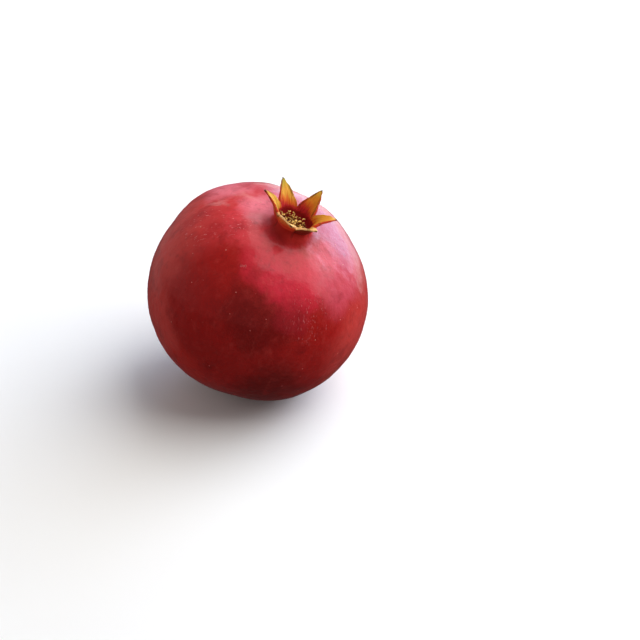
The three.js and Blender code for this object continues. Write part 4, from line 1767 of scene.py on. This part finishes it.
@dataclass(frozen=True)
class StalkFinish:
    """A cut twig: rough grey-brown bark, and pale dry wood with faint rings on the cut face."""

    bark: str = "#6b5236"
    lichen: Tone = Tone("#94836a", 0.5, 0.75, 0.7)
    cracks: Tone = Tone("#3d2c1c", 0.46, 0.25, 0.7)
    wood: Tone = Tone("#c9a878", 0.3, 0.7)
    rings: Tone = Tone("#8a6238", 0.2, 1.0, 0.35)
    heart: Tone = Tone("#8a6238", 0.7, 0.2, 0.8)
    ring_width: float = 0.45
    bark_pattern: Pattern = Pattern(0.8, 6.0, 0.65)
    bark_height: float = 0.2
    roughness: Span = (0.8, 0.95)

    def build(self) -> bpy.types.Material:
        """Builds the material.

        Returns:
            The material.
        """
        paint = Painter("cut_twig_bark_and_wood", self.bark)
        cut, ring = (
            paint.node("ShaderNodeAttribute", attribute_name=name).outputs["Fac"] for name in ("cut", "ring")
        )
        place = paint.node("ShaderNodeTexCoord").outputs["Object"]
        rough_bark = paint.node("ShaderNodeTexNoise", self.bark_pattern.on(place))
        paint.cover(self.lichen, rough_bark)
        paint.cover(self.cracks, rough_bark)
        swing = {0: ring, 1: 2 * math.pi / self.ring_width}
        wave = paint.node("ShaderNodeMath", swing, operation="MULTIPLY")
        wave = paint.node("ShaderNodeMath", {0: wave}, operation="SINE")
        paint.cover(self.wood, cut)
        paint.cover(self.rings, wave, cut)
        paint.cover(self.heart, ring, cut)
        rough = paint.node("ShaderNodeMapRange", {0: rough_bark, 3: self.roughness[0], 4: self.roughness[1]})
        return paint.finish({"Roughness": rough}, [(rough_bark, self.bark_height)], Specular_IOR_Level=0.2)


@dataclass
class Lenticels:
    """The rind's corky pores: small, pale, slightly raised dots, scattered over the body (mm)."""

    rind: bpy.types.Object
    per_square_mm: float = 0.008
    diameter: float = 0.5
    proud: float = 0.07
    sizes: Span = (0.45, 1.15)
    above_table: float = 1.5
    neck_limit: float = 0.02
    segments: int = 8
    rings: int = 5
    seed: int = 5

    def build(self) -> bpy.types.Object:
        """Scatters the dots over a copy of the rind's mesh, and keeps only the dots.

        Returns:
            The dots as one plain mesh.
        """
        values = {
            "Dots For A Square Metre": self.per_square_mm / SQUARE_MM,
            "Dot Radius": self.diameter / 2 * MM,
            "Dot Height": self.proud * MM,
            "Seed": self.seed,
        }
        tree = geometry_tree("corky dots", values)
        given = add_node(tree, "NodeGroupInput").outputs
        tube = add_node(tree, "GeometryNodeInputNamedAttribute", {"Name": "tube"}, data_type="FLOAT")
        on_body = add_node(tree, "FunctionNodeCompare", {0: tube, 1: self.neck_limit}, operation="LESS_THAN")
        place = add_node(tree, "GeometryNodeInputPosition")
        height = add_node(tree, "ShaderNodeSeparateXYZ", {0: place}).outputs["Z"]
        # The dots keep clear of the neck and of the table.
        clear = {0: height, 1: self.above_table * MM}
        off_table = add_node(tree, "FunctionNodeCompare", clear, operation="GREATER_THAN")
        chosen = add_node(tree, "FunctionNodeBooleanMath", {0: on_body, 1: off_table}, operation="AND")
        scattered = {
            "Mesh": given["Geometry"],
            "Selection": chosen,
            "Density": given["Dots For A Square Metre"],
            "Seed": given["Seed"],
        }
        points = add_node(tree, "GeometryNodeDistributePointsOnFaces", scattered)
        ball = {"Segments": self.segments, "Rings": self.rings, "Radius": 1.0}
        dot = add_node(tree, "GeometryNodeMeshUVSphere", ball)
        spans = {0: given["Dot Radius"], 1: given["Dot Radius"], 2: given["Dot Height"]}
        flat = add_node(tree, "ShaderNodeCombineXYZ", spans)
        size = {"Min": self.sizes[0], "Max": self.sizes[1], "Seed": given["Seed"]}
        grown = add_node(tree, "FunctionNodeRandomValue", size, data_type="FLOAT")
        scale = add_node(tree, "ShaderNodeVectorMath", {0: flat, "Scale": grown}, operation="SCALE")
        tone = add_node(tree, "FunctionNodeRandomValue", {"Seed": given["Seed"]}, data_type="FLOAT")
        kept = {"Geometry": points, "Name": "tone", "Value": tone}
        toned = add_node(tree, "GeometryNodeStoreNamedAttribute", kept, data_type="FLOAT")
        dots = {"Points": toned, "Instance": dot, "Rotation": points.outputs["Rotation"], "Scale": scale}
        copies = add_node(tree, "GeometryNodeInstanceOnPoints", dots)
        end_tree(tree, copies, CorkFinish().build())
        lenticels = as_object(self.rind.data.copy())
        lenticels.name = "lenticels"
        return run_geometry_nodes(lenticels, tree, values)


@dataclass(frozen=True)
class CorkFinish:
    """Cork of the rind's breathing pores: matt and pale, pinkish to tan, so it breaks the wax's shine."""

    cork: str = "#d9706a"
    red: Tone = Tone("#a8322c", 0.75, 0.2, 0.9)
    pale: Tone = Tone("#dd9280", 0.86, 1.0, 0.8)
    grain_pattern: Pattern = Pattern(0.15)
    grain_height: float = 0.02
    roughness: Span = (0.6, 0.8)

    def build(self) -> bpy.types.Material:
        """Builds the material.

        Returns:
            The material.
        """
        paint = Painter("corky_lenticels", self.cork)
        tone = paint.node("ShaderNodeAttribute", attribute_name="tone").outputs["Fac"]
        place = paint.node("ShaderNodeTexCoord").outputs["Object"]
        grain = paint.node("ShaderNodeTexNoise", self.grain_pattern.on(place))
        paint.cover(self.red, tone)
        paint.cover(self.pale, tone)
        rough = paint.node("ShaderNodeMapRange", {0: grain, 3: self.roughness[0], 4: self.roughness[1]})
        return paint.finish({"Roughness": rough}, [(grain, self.grain_height)], Specular_IOR_Level=0.25)


# ---- Camera, floor and light ----


@dataclass
class Camera:
    """A long lens that looks down on the fruit."""

    elevation: float = 35.0
    distance: float = 0.664
    lens: float = 85.0
    sensor: float = 36.0
    clip: Span = (0.01, 50.0)
    frame_side_px: float = 640.0
    fruit_centre_px: Span = (257.3, 294.7)
    fruit_centre: tuple[float, float, float] = (-0.00204, -0.0010, 0.0450)

    def build(self) -> None:
        """Puts the scene's camera where the fruit's middle stands at its place in the square frame."""
        data = bpy.data.cameras.new("camera")
        data.lens, data.sensor_width = self.lens, self.sensor
        data.clip_start, data.clip_end = self.clip
        camera = bpy.data.objects.new("camera", data)
        bpy.context.scene.collection.objects.link(camera)
        tilt = math.radians(self.elevation)
        forward = Vector((0, math.cos(tilt), -math.sin(tilt)))
        right = Vector((1, 0, 0))
        up = right.cross(forward)
        aim = Matrix((right, up, -forward)).transposed()
        focal_px = self.lens / self.sensor * self.frame_side_px
        x, y = (p - self.frame_side_px / 2 for p in self.fruit_centre_px)
        seen = Vector((x / focal_px, -y / focal_px, -1)).normalized()
        camera.rotation_mode = "QUATERNION"
        camera.rotation_quaternion = aim.to_quaternion() @ seen.rotation_difference(Vector((0, 0, -1)))
        camera.location = Vector(self.fruit_centre) - forward * self.distance
        bpy.context.scene.camera = camera


@dataclass(frozen=True)
class Softbox:
    """A soft light, aimed at the fruit, in metres, degrees and watts."""

    name: str
    azimuth: float
    elevation: float
    distance: float
    width: float
    height: float
    power: float
    mirrored: bool = True
    colour: str = "#ffffff"

    def build(self, target: Vector) -> None:
        """Hangs the light.

        Args:
            target: what it is aimed at.
        """
        data = bpy.data.lights.new(self.name, "AREA")
        data.shape = "RECTANGLE"
        data.size, data.size_y = self.width, self.height
        data.energy = self.power
        data.color = linear(self.colour)[:3]
        light = bpy.data.objects.new(self.name, data)
        way = direction_from(self.azimuth, self.elevation)
        light.location = target + way * self.distance
        light.rotation_mode = "QUATERNION"
        light.rotation_quaternion = way.to_track_quat("Z", "Y")
        light.visible_camera = False
        light.visible_glossy = self.mirrored
        bpy.context.scene.collection.objects.link(light)


@dataclass(frozen=True)
class Glow:
    """A bright stretch of the table, far from the fruit, that its skin mirrors (degrees)."""

    azimuth: float
    spread: float
    lowest: float
    strength: float


@dataclass
class Studio:
    """A pale floor, a pale surround and softboxes."""

    floor_side: float = 8.0
    floor_colour: str = "#f4f2ef"
    floor_fade: Span = (0.3, 1.0)
    floor_bounce: str = "#a09a94"
    floor_roughness: float = 0.9
    floor_gloss: float = 0.1
    backdrop: float = 0.92
    ambient: float = 0.25
    table_ambient: float = 0.05
    horizon: float = 0.02
    glow_edge: float = 4.0
    glows: tuple[Glow, ...] = (Glow(58, 31, -20, 2.2), Glow(132, 26, -26, 0.22))
    softboxes: tuple[Softbox, ...] = (
        Softbox("key_softbox", 12, 52, 1.6, 2.0, 2.0, 39.0),
        Softbox("back_panel", 50, 15, 1.2, 1.4, 0.8, 17.0, colour="#c4dcff"),
        Softbox("window_panel", 42, 16, 1.2, 0.4, 0.4, 1.2, colour="#c4dcff"),
        Softbox("left_panel", 152, 6, 1.3, 1.7, 0.9, 5.5, mirrored=False),
    )

    def build(self, target: Vector) -> None:
        """Builds the floor, the surround and the lights.

        Args:
            target: what the lights are aimed at.
        """
        half = self.floor_side / 2
        mesh = bpy.data.meshes.new("floor")
        corners = [(-half, -half, 0), (half, -half, 0), (half, half, 0), (-half, half, 0)]
        mesh.from_pydata(corners, [], [(0, 1, 2, 3)])
        floor = as_object(mesh)
        mesh.materials.append(self.floor_material())
        for softbox in self.softboxes:
            softbox.build(target)
        floor.visible_glossy = False
        bpy.context.scene.world = self.surround()
        bpy.context.scene.view_settings.view_transform = "Standard"

    def surround(self) -> bpy.types.World:
        """What the fruit sees round it: a dim room, and a table that glows only far behind it.

        Returns:
            The world. The camera sees it as an even pale backdrop.
        """
        world = bpy.data.worlds.new("surround")
        world.use_nodes = True
        tree = world.node_tree
        tree.nodes.clear()
        way = add_node(tree, "ShaderNodeTexCoord").outputs["Generated"]
        height = add_node(tree, "ShaderNodeSeparateXYZ", {0: way}).outputs["Z"]
        table: Any = self.table_ambient
        for glow in self.glows:
            towards = tuple(direction_from(glow.azimuth, 0.0))
            near = add_node(tree, "ShaderNodeVectorMath", {0: way, 1: towards}, operation="DOT_PRODUCT")
            edges = [math.cos(math.radians(glow.spread + d)) for d in (self.glow_edge, -self.glow_edge)]
            across = {0: near.outputs["Value"], 1: edges[0], 2: edges[1], 3: 0.0, 4: glow.strength}
            beside = add_node(tree, "ShaderNodeMapRange", across, interpolation_type="SMOOTHSTEP")
            foot = [math.sin(math.radians(glow.lowest + d)) for d in (-self.glow_edge, self.glow_edge)]
            above = {0: height, 1: foot[0], 2: foot[1]}
            above_foot = add_node(tree, "ShaderNodeMapRange", above, interpolation_type="SMOOTHSTEP")
            added = {0: beside, 1: above_foot, 2: table}
            table = add_node(tree, "ShaderNodeMath", added, operation="MULTIPLY_ADD")
        meeting = {0: height, 1: -self.horizon, 2: self.horizon, 3: table, 4: self.ambient}
        room = add_node(tree, "ShaderNodeMapRange", meeting)
        seen = add_node(tree, "ShaderNodeLightPath").outputs["Is Camera Ray"]
        strength = add_node(tree, "ShaderNodeMix", {0: seen, 1: room, 2: self.backdrop}, data_type="FLOAT")
        light = add_node(tree, "ShaderNodeBackground", {"Color": (1, 1, 1, 1), "Strength": strength})
        add_node(tree, "ShaderNodeOutputWorld", {"Surface": light})
        return world

    def floor_material(self) -> bpy.types.Material:
        """Matt painted board, which scatters light evenly and throws less light back up than it shows.

        To the camera it fades into the backdrop away from the fruit, as a studio's sweep does.

        Returns:
            The material.
        """
        material = bpy.data.materials.new("matt_painted_board")
        material.use_nodes = True
        tree = material.node_tree
        shader = tree.nodes["Principled BSDF"]
        bounce = add_node(tree, "ShaderNodeLightPath").outputs["Is Diffuse Ray"]
        shades = {0: bounce, 1: linear(self.floor_colour), 2: linear(self.floor_bounce)}
        colour = add_node(tree, "ShaderNodeMix", shades, data_type="RGBA")
        tree.links.new(first_output(colour), shader.inputs["Base Color"])
        shader.inputs["Roughness"].default_value = self.floor_roughness
        shader.inputs["Specular IOR Level"].default_value = self.floor_gloss
        place = add_node(tree, "ShaderNodeTexCoord").outputs["Object"]
        distance = add_node(tree, "ShaderNodeVectorMath", {0: place}, operation="LENGTH").outputs["Value"]
        limits = {0: distance, 1: self.floor_fade[0], 2: self.floor_fade[1]}
        away = add_node(tree, "ShaderNodeMapRange", limits, interpolation_type="SMOOTHSTEP")
        seen = add_node(tree, "ShaderNodeLightPath").outputs["Is Camera Ray"]
        share = add_node(tree, "ShaderNodeMath", {0: away, 1: seen}, operation="MULTIPLY")
        sweep = add_node(tree, "ShaderNodeEmission", {"Color": (1, 1, 1, 1), "Strength": self.backdrop})
        mixed = add_node(tree, "ShaderNodeMixShader", {0: share, 1: shader, 2: sweep})
        tree.links.new(first_output(mixed), tree.nodes["Material Output"].inputs["Surface"])
        return material


def main() -> None:
    """Builds every piece in order, then the studio."""
    logging.basicConfig(level=logging.INFO, format="%(name)s: %(message)s")
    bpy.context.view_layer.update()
    pose = Pose()
    skin = Rind(pose)
    rind = skin.build()
    hand_over(rind, ["fruit"])
    stamen_nodes = sorted(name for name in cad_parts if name.startswith("stamen_"))
    hand_over(Stamens(pose).build(), stamen_nodes)
    hand_over(Style(pose).build(), ["style"])
    hand_over(Stalk(pose, skin.stalk_reach).build(), ["stalk_stub"])
    hand_over(Lenticels(rind).build())
    Studio().build(pose.middle)
    Camera().build()
    LOG.info("middle of the fruit %s", [round(v, 5) for v in pose.middle])


if __name__ == "__main__":
    main()
